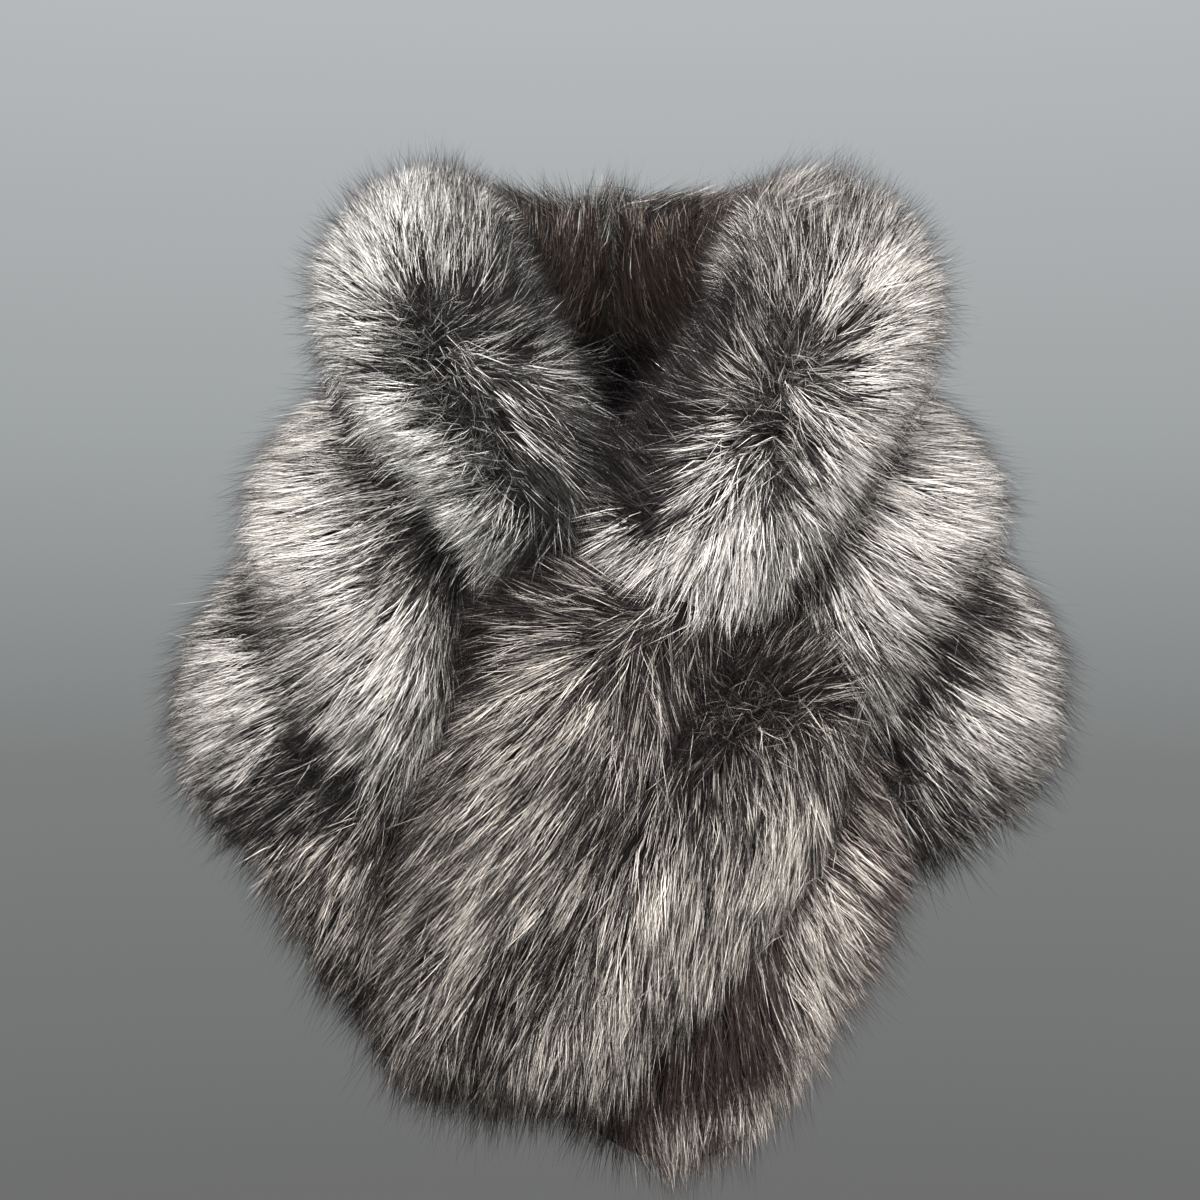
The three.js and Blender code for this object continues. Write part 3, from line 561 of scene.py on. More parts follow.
def new_material(name):
    material = bpy.data.materials.new(name)
    material.use_nodes = True
    tree = material.node_tree
    tree.nodes.clear()
    out = tree.nodes.new("ShaderNodeOutputMaterial")
    shader = tree.nodes.new("ShaderNodeBsdfPrincipled")
    tree.links.new(shader.outputs["BSDF"], out.inputs["Surface"])
    return material, tree, shader


def ramp(tree, factor, stops, interpolation="LINEAR"):
    node = tree.nodes.new("ShaderNodeValToRGB")
    node.color_ramp.interpolation = interpolation
    elements = node.color_ramp.elements
    while len(elements) < len(stops):
        elements.new(0.5)
    for element, (position, colour) in zip(elements, stops):
        element.position = position
        element.color = (*colour, 1)
    tree.links.new(factor, node.inputs["Fac"])
    return node.outputs["Color"]


def mix(tree, factor, low, high):
    node = tree.nodes.new("ShaderNodeMix")
    node.data_type = "RGBA"
    for source, socket in ((factor, MIX_FACTOR), (low, MIX_LOW), (high, MIX_HIGH)):
        tree.links.new(source, node.inputs[socket])
    return node.outputs[MIX_COLOUR]


def add_bump(tree, shader, height, strength, distance):
    bump = tree.nodes.new("ShaderNodeBump")
    bump.inputs["Strength"].default_value = strength
    bump.inputs["Distance"].default_value = distance
    tree.links.new(height, bump.inputs["Height"])
    tree.links.new(bump.outputs["Normal"], shader.inputs["Normal"])


def shades(tint, dark):
    """The colours of a pelt, from its blackest hair to its brightest."""
    return [
        (tone, [level * part for part in (dark if tone < DARK_TO else tint)])
        for tone, level in TONE_LEVELS
    ]


def guard_hair(name, tint, dark, root, tip):
    """Fur seen along each hair: dark at the root, a silver band, then a dark tip."""
    material, tree, shader = new_material(name)
    uv = tree.nodes.new("ShaderNodeUVMap")
    uv.uv_map = "OFBake"
    parts = tree.nodes.new("ShaderNodeSeparateXYZ")
    tree.links.new(uv.outputs["UV"], parts.inputs[0])
    tone = ramp(tree, parts.outputs["X"], shades(tint, dark))
    band = ramp(tree, parts.outputs["Y"], [(along, grey(share)) for along, share in SILVER_BAND], "EASE")
    end = ramp(tree, parts.outputs["Y"], ((0.7, root), (0.9, tip)))
    tree.links.new(mix(tree, band, end, tone), shader.inputs["Base Color"])
    shader.inputs["Roughness"].default_value = 0.6
    shader.inputs["Specular IOR Level"].default_value = 0
    return material


def underfur(name, dark, light):
    material, tree, shader = new_material(name)
    place = tree.nodes.new("ShaderNodeTexCoord")
    stretch = tree.nodes.new("ShaderNodeMapping")
    stretch.inputs["Scale"].default_value = (420, 420, 60)
    noise = tree.nodes.new("ShaderNodeTexNoise")
    noise.inputs["Scale"].default_value = 1.0
    noise.inputs["Detail"].default_value = 3.0
    tree.links.new(place.outputs["Object"], stretch.inputs["Vector"])
    tree.links.new(stretch.outputs["Vector"], noise.inputs["Vector"])
    tone = ramp(tree, noise.outputs["Fac"], ((0.35, dark), (0.75, light)))
    tree.links.new(tone, shader.inputs["Base Color"])
    add_bump(tree, shader, noise.outputs["Fac"], 0.6, 0.002)
    shader.inputs["Roughness"].default_value = 0.85
    shader.inputs["Specular IOR Level"].default_value = 0
    return material


def suede(name, dark, light):
    material, tree, shader = new_material(name)
    place = tree.nodes.new("ShaderNodeTexCoord")
    nap = tree.nodes.new("ShaderNodeTexNoise")
    nap.inputs["Scale"].default_value = 38.0
    nap.inputs["Detail"].default_value = 8.0
    grain = tree.nodes.new("ShaderNodeTexVoronoi")
    grain.inputs["Scale"].default_value = 900.0
    tree.links.new(place.outputs["Object"], nap.inputs["Vector"])
    tree.links.new(place.outputs["Object"], grain.inputs["Vector"])
    tone = ramp(tree, nap.outputs["Fac"], ((0.3, dark), (0.7, light)))
    tree.links.new(tone, shader.inputs["Base Color"])
    add_bump(tree, shader, grain.outputs["Distance"], 0.25, 0.0006)
    rough = ramp(tree, nap.outputs["Fac"], ((0.0, grey(0.78)), (1.0, grey(0.95))))
    tree.links.new(rough, shader.inputs["Roughness"])
    shader.inputs["Sheen Weight"].default_value = 0.2
    return material


def plain(name, colour, roughness):
    material, tree, shader = new_material(name)
    shader.inputs["Base Color"].default_value = (*colour, 1)
    shader.inputs["Roughness"].default_value = roughness
    return material


def glowing_backdrop(name, heights):
    """A backdrop that glows with its own painted light, with no lamp behind it, and its colour at each
    height.
    """
    material, tree, shader = new_material(name)
    low, high = heights[0][0], heights[-1][0]
    place = tree.nodes.new("ShaderNodeTexCoord")
    parts = tree.nodes.new("ShaderNodeSeparateXYZ")
    climb = tree.nodes.new("ShaderNodeMapRange")
    climb.inputs["From Min"].default_value = low
    climb.inputs["From Max"].default_value = high
    tree.links.new(place.outputs["Object"], parts.inputs[0])
    tree.links.new(parts.outputs["Z"], climb.inputs["Value"])
    tone = ramp(tree, climb.outputs[0], [((z - low) / (high - low), colour) for z, colour in heights])
    # the glow is painted light, brighter towards the top, in place of a lit paper backdrop
    tree.links.new(tone, shader.inputs["Emission Color"])
    shader.inputs["Base Color"].default_value = (0, 0, 0, 1)
    shader.inputs["Specular IOR Level"].default_value = 0
    shader.inputs["Emission Strength"].default_value = 1.0
    return material


HAIR = {name: guard_hair(name, *colours) for name, colours in PELTS.items()}
UNDER = underfur("charcoal_underfur", (0.005, 0.004, 0.004), (0.020, 0.016, 0.015))
LEATHER = suede("taupe_suede", (0.12, 0.09, 0.075), (0.20, 0.155, 0.13))

# ---------------------------------------------------------------- the solids, for growing fur on


def unit(v):
    return v / np.maximum(np.linalg.norm(v, axis=-1, keepdims=True), 1e-9)


class Skin:
    """A node's faces as arrays, with smooth normals, to grow fur on."""

    def __init__(self, piece):
        mesh = piece.data
        mesh.calc_loop_triangles()
        points = np.empty(len(mesh.vertices) * 3)
        mesh.vertices.foreach_get("co", points)
        points = points.reshape(-1, 3)
        faces = np.empty(len(mesh.loop_triangles) * 3, int)
        mesh.loop_triangles.foreach_get("vertices", faces)
        faces = faces.reshape(-1, 3)
        first, second, third = points[faces].transpose(1, 0, 2)
        flat = np.cross(second - first, third - first)
        smooth = np.zeros_like(points)
        for corner in range(3):
            np.add.at(smooth, faces[:, corner], flat)
        self.points, self.faces = points, faces
        self.area = np.linalg.norm(flat, axis=1) / 2
        self.smooth = unit(smooth)
        self.flat = unit(flat)
        self.tree = BVHTree.FromPolygons([Vector(point) for point in points], faces.tolist())

    def spots(self, count, rng):
        """Places on the faces, spread by area, with the normals there."""
        pick = rng.choice(len(self.faces), count, p=self.area / self.area.sum())
        a, b = rng.random(count), rng.random(count)
        over = a + b > 1
        a[over], b[over] = 1 - a[over], 1 - b[over]
        share = np.stack([1 - a - b, a, b], 1)[:, :, None]
        corners = self.faces[pick]
        place = (self.points[corners] * share).sum(1)
        smooth = unit((self.smooth[corners] * share).sum(1))
        return place, unit((1 - FACET_SHARE) * smooth + FACET_SHARE * self.flat[pick])


def trees_beside(skins, node):
    return [skin.tree for name, skin in skins.items() if name != node]


def is_covered(trees, start, way):
    """Whether another piece lies close over a face, seen from a place just off it."""
    return any(tree.ray_cast(start, way, COVER_REACH)[0] is not None for tree in trees)


def is_shown(skins, node, place, normal):
    """Whether each place on a node is open to the air, not under another row or against the wearer."""
    beside = trees_beside(skins, node)
    shown = np.ones(len(place), bool)
    if node not in COLLAR_SIDES:
        shown = (unit(place * (WEARER_OVAL, 1, 0)) * normal).sum(1) >= -TO_WEARER
    for k in np.flatnonzero(shown):
        shown[k] = not is_covered(beside, Vector(place[k] + normal[k] * OFF_FACE), Vector(normal[k]))
    return shown


def cast(skin, start, way):
    hit = skin.tree.ray_cast(Vector(start), Vector(way))
    return None if hit[0] is None else np.array(hit[0])


# ---------------------------------------------------------------- combing


def on_piece(skin, x, z):
    """Where a point of the chart lies on a piece, or the nearest place on it if it misses."""
    eye = Vector(VIEWPOINT)
    way = (Vector((x / 1000, CHART_Y, z / 1000)) - eye).normalized()
    hit = skin.tree.ray_cast(eye, way)
    if hit[0] is not None:
        return np.array(hit[0])
    near = [skin.tree.find_nearest(eye + way * reach) for reach in np.linspace(*CAPE_REACH, 46)]
    return np.array(min(near, key=lambda found: found[3])[0])


def on_chart(place):
    """Each place as the chart shows it: x and z in mm."""
    reach = (CHART_Y - VIEWPOINT[1]) / (place[:, 1] - VIEWPOINT[1])
    return (VIEWPOINT + (place - VIEWPOINT) * reach[:, None])[:, [0, 2]] * 1000


def faces_chart(normal):
    """How far each place faces the chart: all that faces ahead does, and what faces back doesn't."""
    return np.clip(0.5 - normal[:, 1] * 2, 0, 1)


def chart_spots(node, skin):
    """Combing spots along the lines of the chart, two to each stretch: place, way, silver, length."""
    lie, long = PILE[node]
    for line in COMBING[node]:
        line = np.array(line, float)
        steps = np.arange(0, len(line) - 0.75, 0.5)
        x, z, tone = (np.interp(steps, np.arange(len(line)), line[:, k]) for k in range(3))
        ahead = np.stack([np.gradient(x), np.zeros(len(x)), np.gradient(z)], 1)
        for k in range(len(steps)):
            yield on_piece(skin, x[k], z[k]), unit(ahead[k]) * lie, tone[k] / 100, long / 1000


def outwards_at(angle):
    """The level way out from the wearer, at an angle from straight ahead. Their left is positive."""
    turn = math.radians(angle)
    return np.array((math.sin(turn), -math.cos(turn), 0))


def tier_spots(node, skin):
    """Combing spots round the side and back of a tier, where its pile falls down."""
    side, start, row = TIER_SIDES[node]
    for k, angle in enumerate(np.linspace(start, BACK_ANGLE, TIER_ANGLES)):
        out = outwards_at(side * angle)
        for j, (z, tone) in enumerate(row):
            hit = cast(skin, out * OUTSIDE + (0, 0, z / 1000), -out)
            if hit is None:
                continue
            if angle < 100:  # beside the chart the pile leans back
                fall = np.array((out[0] * 0.6, 0.25, -0.8))
            else:  # farther round it falls straighter, and straightest down the back
                fall = np.array((-0.12 * side * (angle < 150), 0, -1)) + out * 0.15
            yield hit, unit(fall) * 0.85, tone / 100 * TIER_SHADES[(k + j) % len(TIER_SHADES)], TIER_PILE


def collar_spots(node, skin):
    """Combing spots round a collar: on its outer side, and inside the neck, where the pile rises."""
    for angle in COLLAR_ANGLES:
        out = outwards_at(COLLAR_SIDES[node] * angle)
        for z, lean, rise, tone in COLLAR_OUTER:
            hit = cast(skin, out * OUTSIDE + (0, 0, z / 1000), -out)
            if hit is not None:
                yield hit, unit(out * lean + (0, 0, rise)) * 0.8, tone / 100, COLLAR_PILE
        for z, tone in COLLAR_NECK:
            hit = cast(skin, (0, 0, z / 1000), out)
            if hit is not None:
                yield hit, unit(-0.25 * out + (0, 0, 1)) * 0.85, tone / 100, NECK_PILE


def combing_of(node, skin):
    """The combing spots of a piece as arrays: place, way, silver, length."""
    spots = list(chart_spots(node, skin))
    if node in TIER_SIDES:
        spots.extend(tier_spots(node, skin))
    if node in COLLAR_SIDES:
        spots.extend(collar_spots(node, skin))
    return [np.array(column) for column in zip(*spots)]


def nearness(place, spots):
    """How much each combing spot counts at each place."""
    gap = ((place[:, None, :] - spots[None]) ** 2).sum(2)
    return 1 / (gap + COMB_BLUR**2) ** 2


def gap_to_line(spots, line):
    """How far each spot of the chart is from a line of straight stretches."""
    gap = np.full(len(spots), np.inf)
    for start, end in zip(line, line[1:]):
        start, run = np.array(start), np.subtract(end, start)
        share = np.clip((spots - start) @ run / (run @ run), 0, 1)
        gap = np.minimum(gap, np.linalg.norm(spots - start - share[:, None] * run, axis=1))
    return gap


def whorl_of(node, place, normal):
    """How far each place is inside a whorl, how near it is to one, and how silver that whorl is."""
    chart = on_chart(place)
    whorl, beside, silver = np.zeros((3, len(place)))
    for x, z, radius, tone in WHORLS.get(node, ()):
        away = np.linalg.norm(chart - (x, z), axis=1) / radius
        inside = np.clip(1.5 - away, 0, 1) * faces_chart(normal)
        silver = np.where(inside > whorl, tone / 100, silver)
        whorl = np.maximum(whorl, inside)
        beside = np.maximum(beside, np.clip(1.6 - away / 2, 0, 1) * faces_chart(normal))
    return whorl, beside, silver


def comb(node, skin, place, normal):
    """Way, silver, length and how far into a whorl it is, at each place on a piece."""
    spots, way, silver, length = combing_of(node, skin)
    weight = nearness(place, spots)
    weight /= weight.sum(1, keepdims=True)
    lie = weight @ np.linalg.norm(way, axis=1)
    way, length = weight @ way, weight @ length
    # between spots that point different ways the pile stands up a little
    way = unit(way) * (0.6 * lie + 0.4 * np.linalg.norm(way, axis=1))[:, None]
    seen = place + way * SEEN_AHEAD
    weight = nearness(seen, spots)
    silver = (weight @ silver) / weight.sum(1)
    chart = on_chart(seen)
    # the partings darken the silver: the dark base of the pile, and painted shade under the edges of the rows
    # above
    for half, depth, line in PARTINGS_AND_PAINTED_SHADE.get(node, ()):
        near = np.clip(1.6 - gap_to_line(chart, line) / half, 0, 1) * faces_chart(normal)
        silver = silver * (1 - depth * near**0.7)
    # pile that would stand straight out on a side or the back falls down instead
    out = (way * normal).sum(1) / np.maximum(np.linalg.norm(way, axis=1), 1e-6)
    turned = np.clip((normal[:, 1] + 0.45) * 2, 0, 1) * np.clip(out * 1.5 - 0.3, 0, 1) * 0.75
    fall = unit(np.array((0, 0.5, -0.8) if node in COLLAR_SIDES else (0, 0.25, -1.0))) * lie[:, None]
    way = way + (fall - way) * turned[:, None]
    # in a whorl the pile stands up, short and dark, and beside it the pile is shorter
    whorl, beside, standing = whorl_of(node, place, normal)
    way = way * (1 - 0.7 * whorl[:, None])
    length = length * (1 - 0.3 * beside)
    length = length + (WHORL_PILE - length) * whorl
    silver = silver + (standing - silver) * whorl * 0.9
    return way, silver, length, whorl


# ---------------------------------------------------------------- fur

box_low, box_high = (np.array(corner) for corner in cad_box)
patch_rng = np.random.default_rng(SEED + 1)
patch_ways = unit(patch_rng.normal(0, 1, (PATCH_WAVES, 3)))
patch_ways *= (2 * math.pi / patch_rng.uniform(*PATCH_SIZES, PATCH_WAVES))[:, None]
patch_turns = patch_rng.uniform(0, 2 * math.pi, PATCH_WAVES)


def patches(place):
    """Uneven patches of light and dark, as the fur of one animal has, with a spread of about 1."""
    return np.sin(place @ patch_ways.T + patch_turns).sum(1) / math.sqrt(PATCH_WAVES / 2)


def kept_in(tip, foot):
    """Tips drawn back along their hair where they would stand out too far."""
    reach = tip - foot
    room = np.where(reach > 0, box_high + TIP_ROOM - foot, foot - (box_low - TIP_ROOM))
    share = np.min(np.maximum(room, 0.001) / np.maximum(np.abs(reach), 1e-6), axis=1, keepdims=True)
    return foot + reach * np.minimum(share, 1)


def runs_on(skins, node, place, way):
    """Whether the pile at each place runs on over another piece (1), or out into the air (0)."""
    beside = trees_beside(skins, node)
    near = np.zeros((len(place), 1))
    for k, ahead in enumerate(place + way * RUN_AHEAD):
        spot = Vector(ahead)
        near[k] = any(tree.find_nearest(spot, RUN_NEAR)[0] is not None for tree in beside)
    return near


def lock_pull(skins, tip):
    """How far each lock's tip is drawn in, so that no lock stands out of the cape like a spike."""
    pull = np.zeros((len(tip), 3))
    for k in range(len(tip)):
        spot = Vector(tip[k])
        nearest = None
        for skin in skins.values():
            near, facing, _, gap = skin.tree.find_nearest(spot, LOCK_REACH)
            if near is None:
                continue
            if (spot - near).dot(facing) < 0:
                nearest = None
                break
            if nearest is None or gap < nearest[1]:
                nearest = (near, gap)
        if nearest is not None and nearest[1] > LOCK_STANDS:
            pull[k] = np.array(spot - nearest[0]) * (1 - LOCK_STANDS / nearest[1])
    return pull


def to_hairs(values):
    """The value of each lock, repeated for each of its hairs."""
    return np.repeat(values, HAIRS_A_LOCK, axis=0)


def wisps_to_hairs(values):
    return np.repeat(values, HAIRS_A_WISP, axis=0)


class Locks:
    """The locks of a piece as arrays: how each one lies, how long and how silver it is."""

    def __init__(self, node, skins, place, normal, rng):
        way, silver, length, self.whorl = comb(node, skins[node], place, normal)
        count = len(place)
        self.place, self.normal = place, normal
        out = (way * normal).sum(1, keepdims=True)
        lying = way - normal * np.minimum(out, 0) - normal * np.maximum(out, 0) * OUT_TAKEN_OFF
        self.flat = np.clip(np.linalg.norm(way, axis=1, keepdims=True), 0, 1)
        lift = LEAST_LIFT + (1 - self.flat) * MORE_LIFT
        wander = rng.normal(0, 1, (count, 3)) * (WANDER + WHORL_WANDER * self.whorl[:, None])
        self.lean = unit(lying + normal * lift + wander)
        self.along = lying + wander * 0.6
        self.across = unit(np.cross(normal, self.lean + rng.normal(0, NUDGE, (count, 3))))
        streak = patches(place - self.along * PATCH_STREAK)
        uneven = 1 + PATCH_DEPTH * streak + rng.normal(0, SILVER_SCATTER, count)
        self.silver = np.clip(silver * uneven, 0, 1)
        self.long = length * rng.uniform(*LOCK_LENGTHS, count)
        self.gather = rng.uniform(*GATHER, count)
        self.bow = rng.normal(0, BOW, count) + rng.normal(0, WHORL_BOW, count) * self.whorl
        self.over_next = runs_on(skins, node, place, self.lean)
        self.tip = place + self.lean * (self.long[:, None] * HAIR_AHEAD)
        rise = ((self.tip - place) * normal).sum(1, keepdims=True)
        self.pull = lock_pull(skins, self.tip - normal * np.maximum(rise - PILE_STANDS[1], 0))


def tip_limits(locks, loner, rng):
    """How far each hair's tip may stand off the skin. A loner is a guard hair or a flyaway."""
    count, total = len(locks.place), len(loner)
    # how far each place faces down, as along a hem, with more unevenness towards the cape's sides
    hem = np.clip(-locks.normal[:, 2:] * 1.6 - 0.4, 0, 1)
    hem = to_hairs(hem * (1 + 0.8 * np.clip(np.abs(locks.place[:, :1]) / 0.2 - 0.6, 0, 1)))
    most = np.where(loner, rng.uniform(*GUARD_STANDS, (total, 1)), rng.uniform(*PILE_STANDS, (total, 1)))
    most = most + to_hairs(rng.uniform(*LOCK_RELIEF, (count, 1)) * (1 - 0.5 * locks.whorl[:, None]))
    most = most + hem * (to_hairs(rng.uniform(*HEM_RELIEF, (count, 1))) + rng.uniform(*HEM_FRAY, (total, 1)))
    return most + to_hairs(locks.over_next) * rng.uniform(*STANDS_OVER_NEXT, (total, 1))


def tones_of(locks, guard, flyaway, rng):
    """How light each hair is, 0 to 1. A more silver lock has more bright hairs, and brighter ones."""
    share, whorl = to_hairs(locks.silver), to_hairs(locks.whorl)
    total = len(share)
    in_wisp = rng.random(total) < 0.7  # these are bright or dark with the rest of their wisp
    luck = np.where(in_wisp, wisps_to_hairs(rng.random(total // HAIRS_A_WISP)), rng.random(total))
    bright = luck < np.clip(share - 0.04, 0.07, 0.88)
    bright_tone = 0.54 + 0.46 * share - 0.16 * whorl + rng.normal(0, 0.07, total)
    dark_tone = 0.10 + 0.22 * share - 0.03 * whorl + rng.normal(0, 0.12, total)
    tone = np.where(bright, bright_tone, dark_tone)
    tone = np.where(guard, tone * 0.3, tone)
    tone = np.where(flyaway, 0.4 + 0.5 * share, tone)
    return np.clip(tone, 0.01, 0.99)


def is_nape(home, normal, rng):
    """Which hairs are the brown ones behind the neck."""
    toward_neck = (normal[:, :2] * unit(-home[:, :2])).sum(1)
    under_edge = np.clip((NAPE_TOP - home[:, 2]) / NAPE_FADE, *NAPE_SHARE)
    behind = (home[:, 1] > NAPE_FROM_Y) & (home[:, 2] > 0.0) & (toward_neck > NAPE_TO_NECK)
    return behind & (rng.random(len(home)) < under_edge)


def hairs_of(locks, rng):
    """Each hair's root, bend and tip, the normal at its foot, its tone and width, and if it is nape hair."""
    home, normal, lean, along, across = (
        to_hairs(values) for values in (locks.place, locks.normal, locks.lean, locks.along, locks.across)
    )
    total = len(home)
    wisps = (total // HAIRS_A_WISP, 1)
    side = unit(np.cross(normal, across))
    off = wisps_to_hairs(rng.normal(0, LOCK_SPAN, wisps)) + rng.normal(0, WISP_SPAN, (total, 1))
    foot = home + across * off + side * wisps_to_hairs(rng.normal(0, LOCK_SPAN * LOCK_DRAWN_OUT, wisps))
    long = to_hairs(locks.long)[:, None] * rng.uniform(*HAIR_LENGTHS, (total, 1))
    kind = rng.random((total, 1))
    guard, flyaway = kind < GUARDS_TO, kind > FLYAWAYS_FROM
    loner = guard | flyaway
    long = np.where(guard, long * rng.uniform(*GUARD_LENGTHS, (total, 1)), long)
    long = np.where(flyaway, long * rng.uniform(*FLYAWAY_LENGTHS, (total, 1)), long)
    sink = rng.uniform(*SINK, (total, 1))
    loose = LOOSE_STRAY * (1 - to_hairs(locks.flat))
    stray = rng.normal(0, 1, (total, 3)) * (STRAY + loose + FLYAWAY_STRAY * flyaway)
    bow = across * to_hairs(locks.bow)[:, None] * long
    root = foot - along * long * HAIR_BACK - normal * (ROOT_DEPTH + sink)
    bend = foot + along * long * HAIR_BEND - normal * sink * 0.8 + bow
    tip = foot + unit(lean + stray) * long * HAIR_AHEAD - normal * sink * 0.6
    gather = to_hairs(locks.gather)[:, None] * rng.uniform(0.3, 1.0, (total, 1)) * ~loner
    tip = tip + (to_hairs(locks.tip) - tip) * gather
    stand = ((tip - home) * normal).sum(1, keepdims=True)
    back = normal * np.maximum(stand - tip_limits(locks, loner, rng), 0)
    tip = kept_in(tip - back - to_hairs(locks.pull), foot)
    tone = tones_of(locks, guard[:, 0], flyaway[:, 0], rng)
    width = HAIR_WIDTH * rng.uniform(*WIDTHS, total) * (1 - 0.5 * to_hairs(locks.whorl))
    width = np.where(loner[:, 0], width * LONER_WIDTH, width)
    return root - back, bend - back, tip, normal, tone, width, is_nape(home, normal, rng)


def fur_mesh(name, root, bend, tip, normal, tone, width, nape, rng):
    """One mesh of narrow blades, pointed at both ends, one face for each hair."""
    count = len(root)
    run = unit(tip - root)
    flat = unit(np.cross(normal, run) + rng.normal(0, NUDGE, (count, 3)))
    rise = unit(np.cross(run, flat))
    roll = rng.uniform(*ROLL, (count, 1))
    half = (flat * np.cos(roll) + rise * np.sin(roll)) * width[:, None] / 2
    points = np.stack([root, bend + half, tip, bend - half], 1)
    mesh = bpy.data.meshes.new(name)
    mesh.vertices.add(count * 4)
    mesh.vertices.foreach_set("co", points.astype(np.float32).ravel())
    mesh.loops.add(count * 4)
    mesh.loops.foreach_set("vertex_index", np.arange(count * 4, dtype=np.int32))
    mesh.polygons.add(count)
    mesh.polygons.foreach_set("loop_start", np.arange(count, dtype=np.int32) * 4)
    mesh.polygons.foreach_set("material_index", nape.astype(np.int32))
    mesh.update(calc_edges=True)
    layer = mesh.uv_layers.new(name="OFBake")
    # across the map lies the hair's tone, and up it the way from root to tip
    u = 0.01 + tone[:, None] * 0.97 + np.array((0, 0.004, 0, -0.004))
    v = np.tile((0.01, 0.50, 0.99, 0.50), (count, 1))
    layer.data.foreach_set("uv", np.stack([u, v], 2).astype(np.float32).ravel())
    mesh.validate()
    piece = bpy.data.objects.new(name, mesh)
    bpy.context.scene.collection.objects.link(piece)
    return piece


# ---------------------------------------------------------------- leather and underfur


def outward_of(point):
    """The level way out of the wearer's middle at a point, for a wearer who is wider than deep."""
    return Vector((point.x * WEARER_OVAL, point.y, 0)).normalized()


def depth_of(tree, point, normal):
    """How thick a piece is under a point on its face."""
    hit = tree.ray_cast(point - normal * OFF_FACE, -normal)
    return 0.0 if hit[0] is None else hit[3]


def is_backed(tree, point, outward):
    """Whether the underfur hides a point of the leather from outside, straight on and aslant."""
    side = outward.cross(Vector((0, 0, 1)))
    for across, up in ((0, 0), (SLANT, 0), (-SLANT, 0), (0, SLANT), (0, -SLANT)):
        if across and abs(point.x) < SEAM_ZONE and point.y > 0:
            continue  # the other half closes the seam down the back
        way = (outward + side * across + Vector((0, 0, up))).normalized()
        if tree.ray_cast(point, way, OUT_REACH)[0] is None:
            return False
    return True


def underfur_of(node, skins):
    """The dense wool under the guard hairs. It lies farthest in where the fur is open to the air."""
    piece = merged_copy(node, node + "_underfur")
    beside = trees_beside(skins, node)
    places = []
    for vertex in piece.data.vertices:
        if is_covered(beside, vertex.co + vertex.normal * OFF_FACE, vertex.normal):
            depth = COVERED_DEPTH
        elif node not in COLLAR_SIDES and outward_of(vertex.co).dot(vertex.normal) < -TO_WEARER:
            depth = INNER_DEPTH
        else:
            depth = UNDERFUR_DEPTH + UNDERFUR_HEM * max(0, -vertex.normal.z)
        depth = min(depth, depth_of(skins[node].tree, vertex.co, vertex.normal) * DEEPEST)
        way = vertex.normal.copy()
        if abs(vertex.co.x) < BACK_SEAM and vertex.co.y > 0:
            way.x = 0  # the two halves stay close together at the seam down the back
        places.append(vertex.co - way * depth)
    for vertex, place in zip(piece.data.vertices, places):
        vertex.co = place
    finish_smooth(piece, UNDER)
    return piece


def leather_of(node, skins, under):
    """The tanned skin: the side of the piece that lies to the wearer, as a thin shell."""
    backing = Skin(under).tree
    piece = merged_copy(node, node + "_leather")
    rolled = node in COLLAR_SIDES
    if rolled:
        shrink = piece.modifiers.new("inner", "DISPLACE")
        shrink.strength = -COLLAR_INSET
        shrink.mid_level = 0
        apply_modifiers(piece)
    make_active(piece)
    bpy.context.tool_settings.mesh_select_mode = (True, False, False)
    bpy.ops.object.mode_set(mode="EDIT")
    bpy.ops.mesh.select_all(action="SELECT")
    bpy.ops.mesh.subdivide(number_cuts=1 if rolled else 2)
    bpy.ops.object.mode_set(mode="OBJECT")
    for part in (*piece.data.polygons, *piece.data.edges):
        part.select = False
    for vertex in piece.data.vertices:
        if rolled:
            near, facing, _, gap = skins[node].tree.find_nearest(vertex.co)
            buried = gap > COLLAR_BURIED and (vertex.co - near).dot(facing) < 0
            vertex.select = vertex.normal.z < -LEATHER_TURN or not buried
        else:
            outward = outward_of(vertex.co)
            faces_wearer = outward.dot(vertex.normal) < -LEATHER_TURN
            vertex.select = not faces_wearer or not is_backed(backing, vertex.co, outward)
    bpy.ops.object.mode_set(mode="EDIT")
    bpy.ops.mesh.delete(type="VERT")
    bpy.ops.object.mode_set(mode="OBJECT")
    wall = piece.modifiers.new("thickness", "SOLIDIFY")
    wall.thickness = LEATHER_THICK
    wall.offset = -1
    apply_modifiers(piece)
    finish_smooth(piece, LEATHER)
    return piece


# ---------------------------------------------------------------- the cape


def form_of(node):
    """A node's faces, read off a merged copy that is thrown away."""
    form = merged_copy(node, node + "_form")
    skin = Skin(form)
    bpy.data.objects.remove(form)
    return skin


def shown_area(skins, node, rng):
    """The area of a node that is open to the air, from a sample of places on it."""
    place, normal = skins[node].spots(AREA_SAMPLES, rng)
    return skins[node].area.sum() * is_shown(skins, node, place, normal).mean()


def lock_places(skins, node, area, locks_a_metre, rng):
    """Where the locks of a piece grow, closer together in its whorls, and the normals there.

    The area is what shows of the piece: more places are drawn than wanted, and those that are covered go.
    """
    skin = skins[node]
    wanted = int(area * locks_a_metre)
    place, normal = skin.spots(int(wanted * skin.area.sum() / area), rng)
    shown = is_shown(skins, node, place, normal)
    place, normal = place[shown], normal[shown]
    in_whorl = whorl_of(node, place, normal)[0] > WHORL_EDGE
    if in_whorl.any():
        more = rng.choice(np.flatnonzero(in_whorl), int(in_whorl.sum() * EXTRA_IN_WHORLS))
        shift = rng.normal(0, EXTRA_SHIFT, (len(more), 3))
        place = np.concatenate([place, place[more] + shift])
        normal = np.concatenate([normal, normal[more]])
    return place, normal


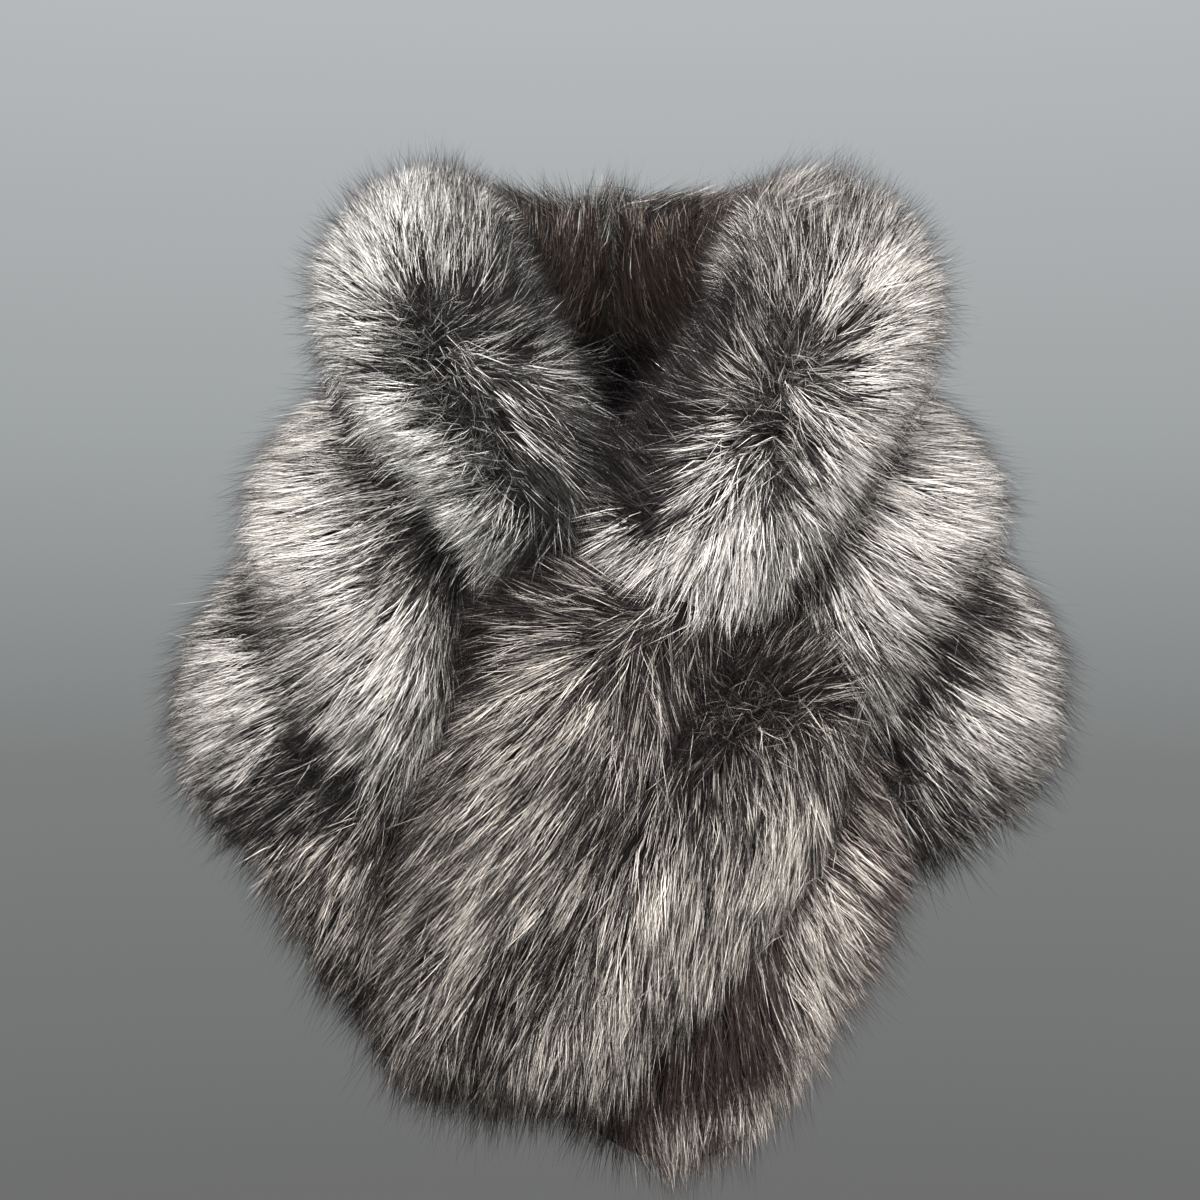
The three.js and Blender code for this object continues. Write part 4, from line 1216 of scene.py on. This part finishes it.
skins = {node: form_of(node) for node in COMBING}
rng = np.random.default_rng(SEED)
areas = {node: shown_area(skins, node, rng) for node in skins}
locks_a_metre = PILE_TOTAL / HAIRS_A_LOCK / sum(areas.values())

for node in skins:
    locks = Locks(node, skins, *lock_places(skins, node, areas[node], locks_a_metre, rng), rng)
    fur = fur_mesh(node + "_fur", *hairs_of(locks, rng), rng)
    fur.data.materials.append(HAIR[PELT_OF[node]])
    if node in COLLAR_SIDES:
        fur.data.materials.append(HAIR["brown_nape_hair"])
    under = underfur_of(node, skins)
    leather = leather_of(node, skins, under)
    for piece in (fur, under, leather):
        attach(piece, "root")
    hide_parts(node)

# ---------------------------------------------------------------- studio

FLOOR_HEIGHT = -2.0
SWEEP_HEIGHT = 5.0
SWEEP_RADIUS = 2.75
# The backdrop's painted glow at each height (m), darker towards the floor.
BACKDROP_GLOW = (
    (-1.3, (0.155, 0.156, 0.156)), (-0.5, (0.205, 0.214, 0.212)), (0.1, (0.35, 0.37, 0.375)),
    (0.9, (0.47, 0.49, 0.505)),
)
# Each softbox: where it stands, what it aims at, its width and height, its power (W).
SOFTBOXES = {
    "key_softbox": ((-1.1, -2.1, 1.5), (0, 0, -0.2), (1.4, 1.0), 162),
    "fill_softbox": ((1.7, -1.9, 0.9), (0, 0, -0.25), (1.2, 1.2), 98),
    "top_softbox": ((0, 0.2, 2.2), (0, 0, 0), (1.6, 1.2), 50),
    "back_softbox": ((0.6, 2.2, 1.4), (0, 0, -0.2), (1.4, 1.2), 80),
}

bpy.ops.mesh.primitive_cylinder_add(
    vertices=128, radius=SWEEP_RADIUS, depth=SWEEP_HEIGHT, end_fill_type="NGON",
    location=(0, 0, FLOOR_HEIGHT + SWEEP_HEIGHT / 2),
)
sweep = bpy.context.active_object
sweep.name = "studio_sweep"
make_active(sweep)
bpy.ops.object.mode_set(mode="EDIT")
bpy.ops.mesh.select_all(action="DESELECT")
bpy.ops.object.mode_set(mode="OBJECT")
for polygon in sweep.data.polygons:
    polygon.select = polygon.normal.z > 0.5
bpy.context.tool_settings.mesh_select_mode = (False, False, True)
bpy.ops.object.mode_set(mode="EDIT")
bpy.ops.mesh.delete(type="FACE")
bpy.ops.mesh.select_all(action="SELECT")
bpy.ops.mesh.flip_normals()
bpy.ops.object.mode_set(mode="OBJECT")
bpy.ops.object.transform_apply(location=True, rotation=True, scale=True)
# the sweep's wall glows with painted light; its floor is plain
sweep.data.materials.append(glowing_backdrop("painted_glow_backdrop", BACKDROP_GLOW))
sweep.data.materials.append(plain("pale_floor", (0.40, 0.40, 0.395), 0.85))
for polygon in sweep.data.polygons:
    level = abs(polygon.normal.z) > 0.5
    polygon.material_index = int(level)
    polygon.use_smooth = not level

for name, (place, aim, size, power) in SOFTBOXES.items():
    lamp = bpy.data.lights.new(name, "AREA")
    lamp.shape = "RECTANGLE"
    lamp.size, lamp.size_y = size
    lamp.energy = power
    lamp.cycles.max_bounces = 3
    softbox = bpy.data.objects.new(name, lamp)
    softbox.location = place
    softbox.rotation_euler = (Vector(aim) - Vector(place)).to_track_quat("-Z", "Y").to_euler()
    softbox.visible_camera = False
    bpy.context.scene.collection.objects.link(softbox)

world = bpy.data.worlds.new("studio_air")
bpy.context.scene.world = world
world.use_nodes = True
world.node_tree.nodes["Background"].inputs["Color"].default_value = (0.90, 0.90, 0.90, 1)
world.node_tree.nodes["Background"].inputs["Strength"].default_value = 0.5

bpy.context.scene.view_settings.view_transform = "Standard"

camera = bpy.data.objects.new("camera", bpy.data.cameras.new("camera"))
camera.data.sensor_width = 36
camera.data.lens = 75
camera.location = VIEWPOINT
camera.rotation_euler = (math.pi / 2, 0, 0)
bpy.context.scene.collection.objects.link(camera)
bpy.context.scene.camera = camera
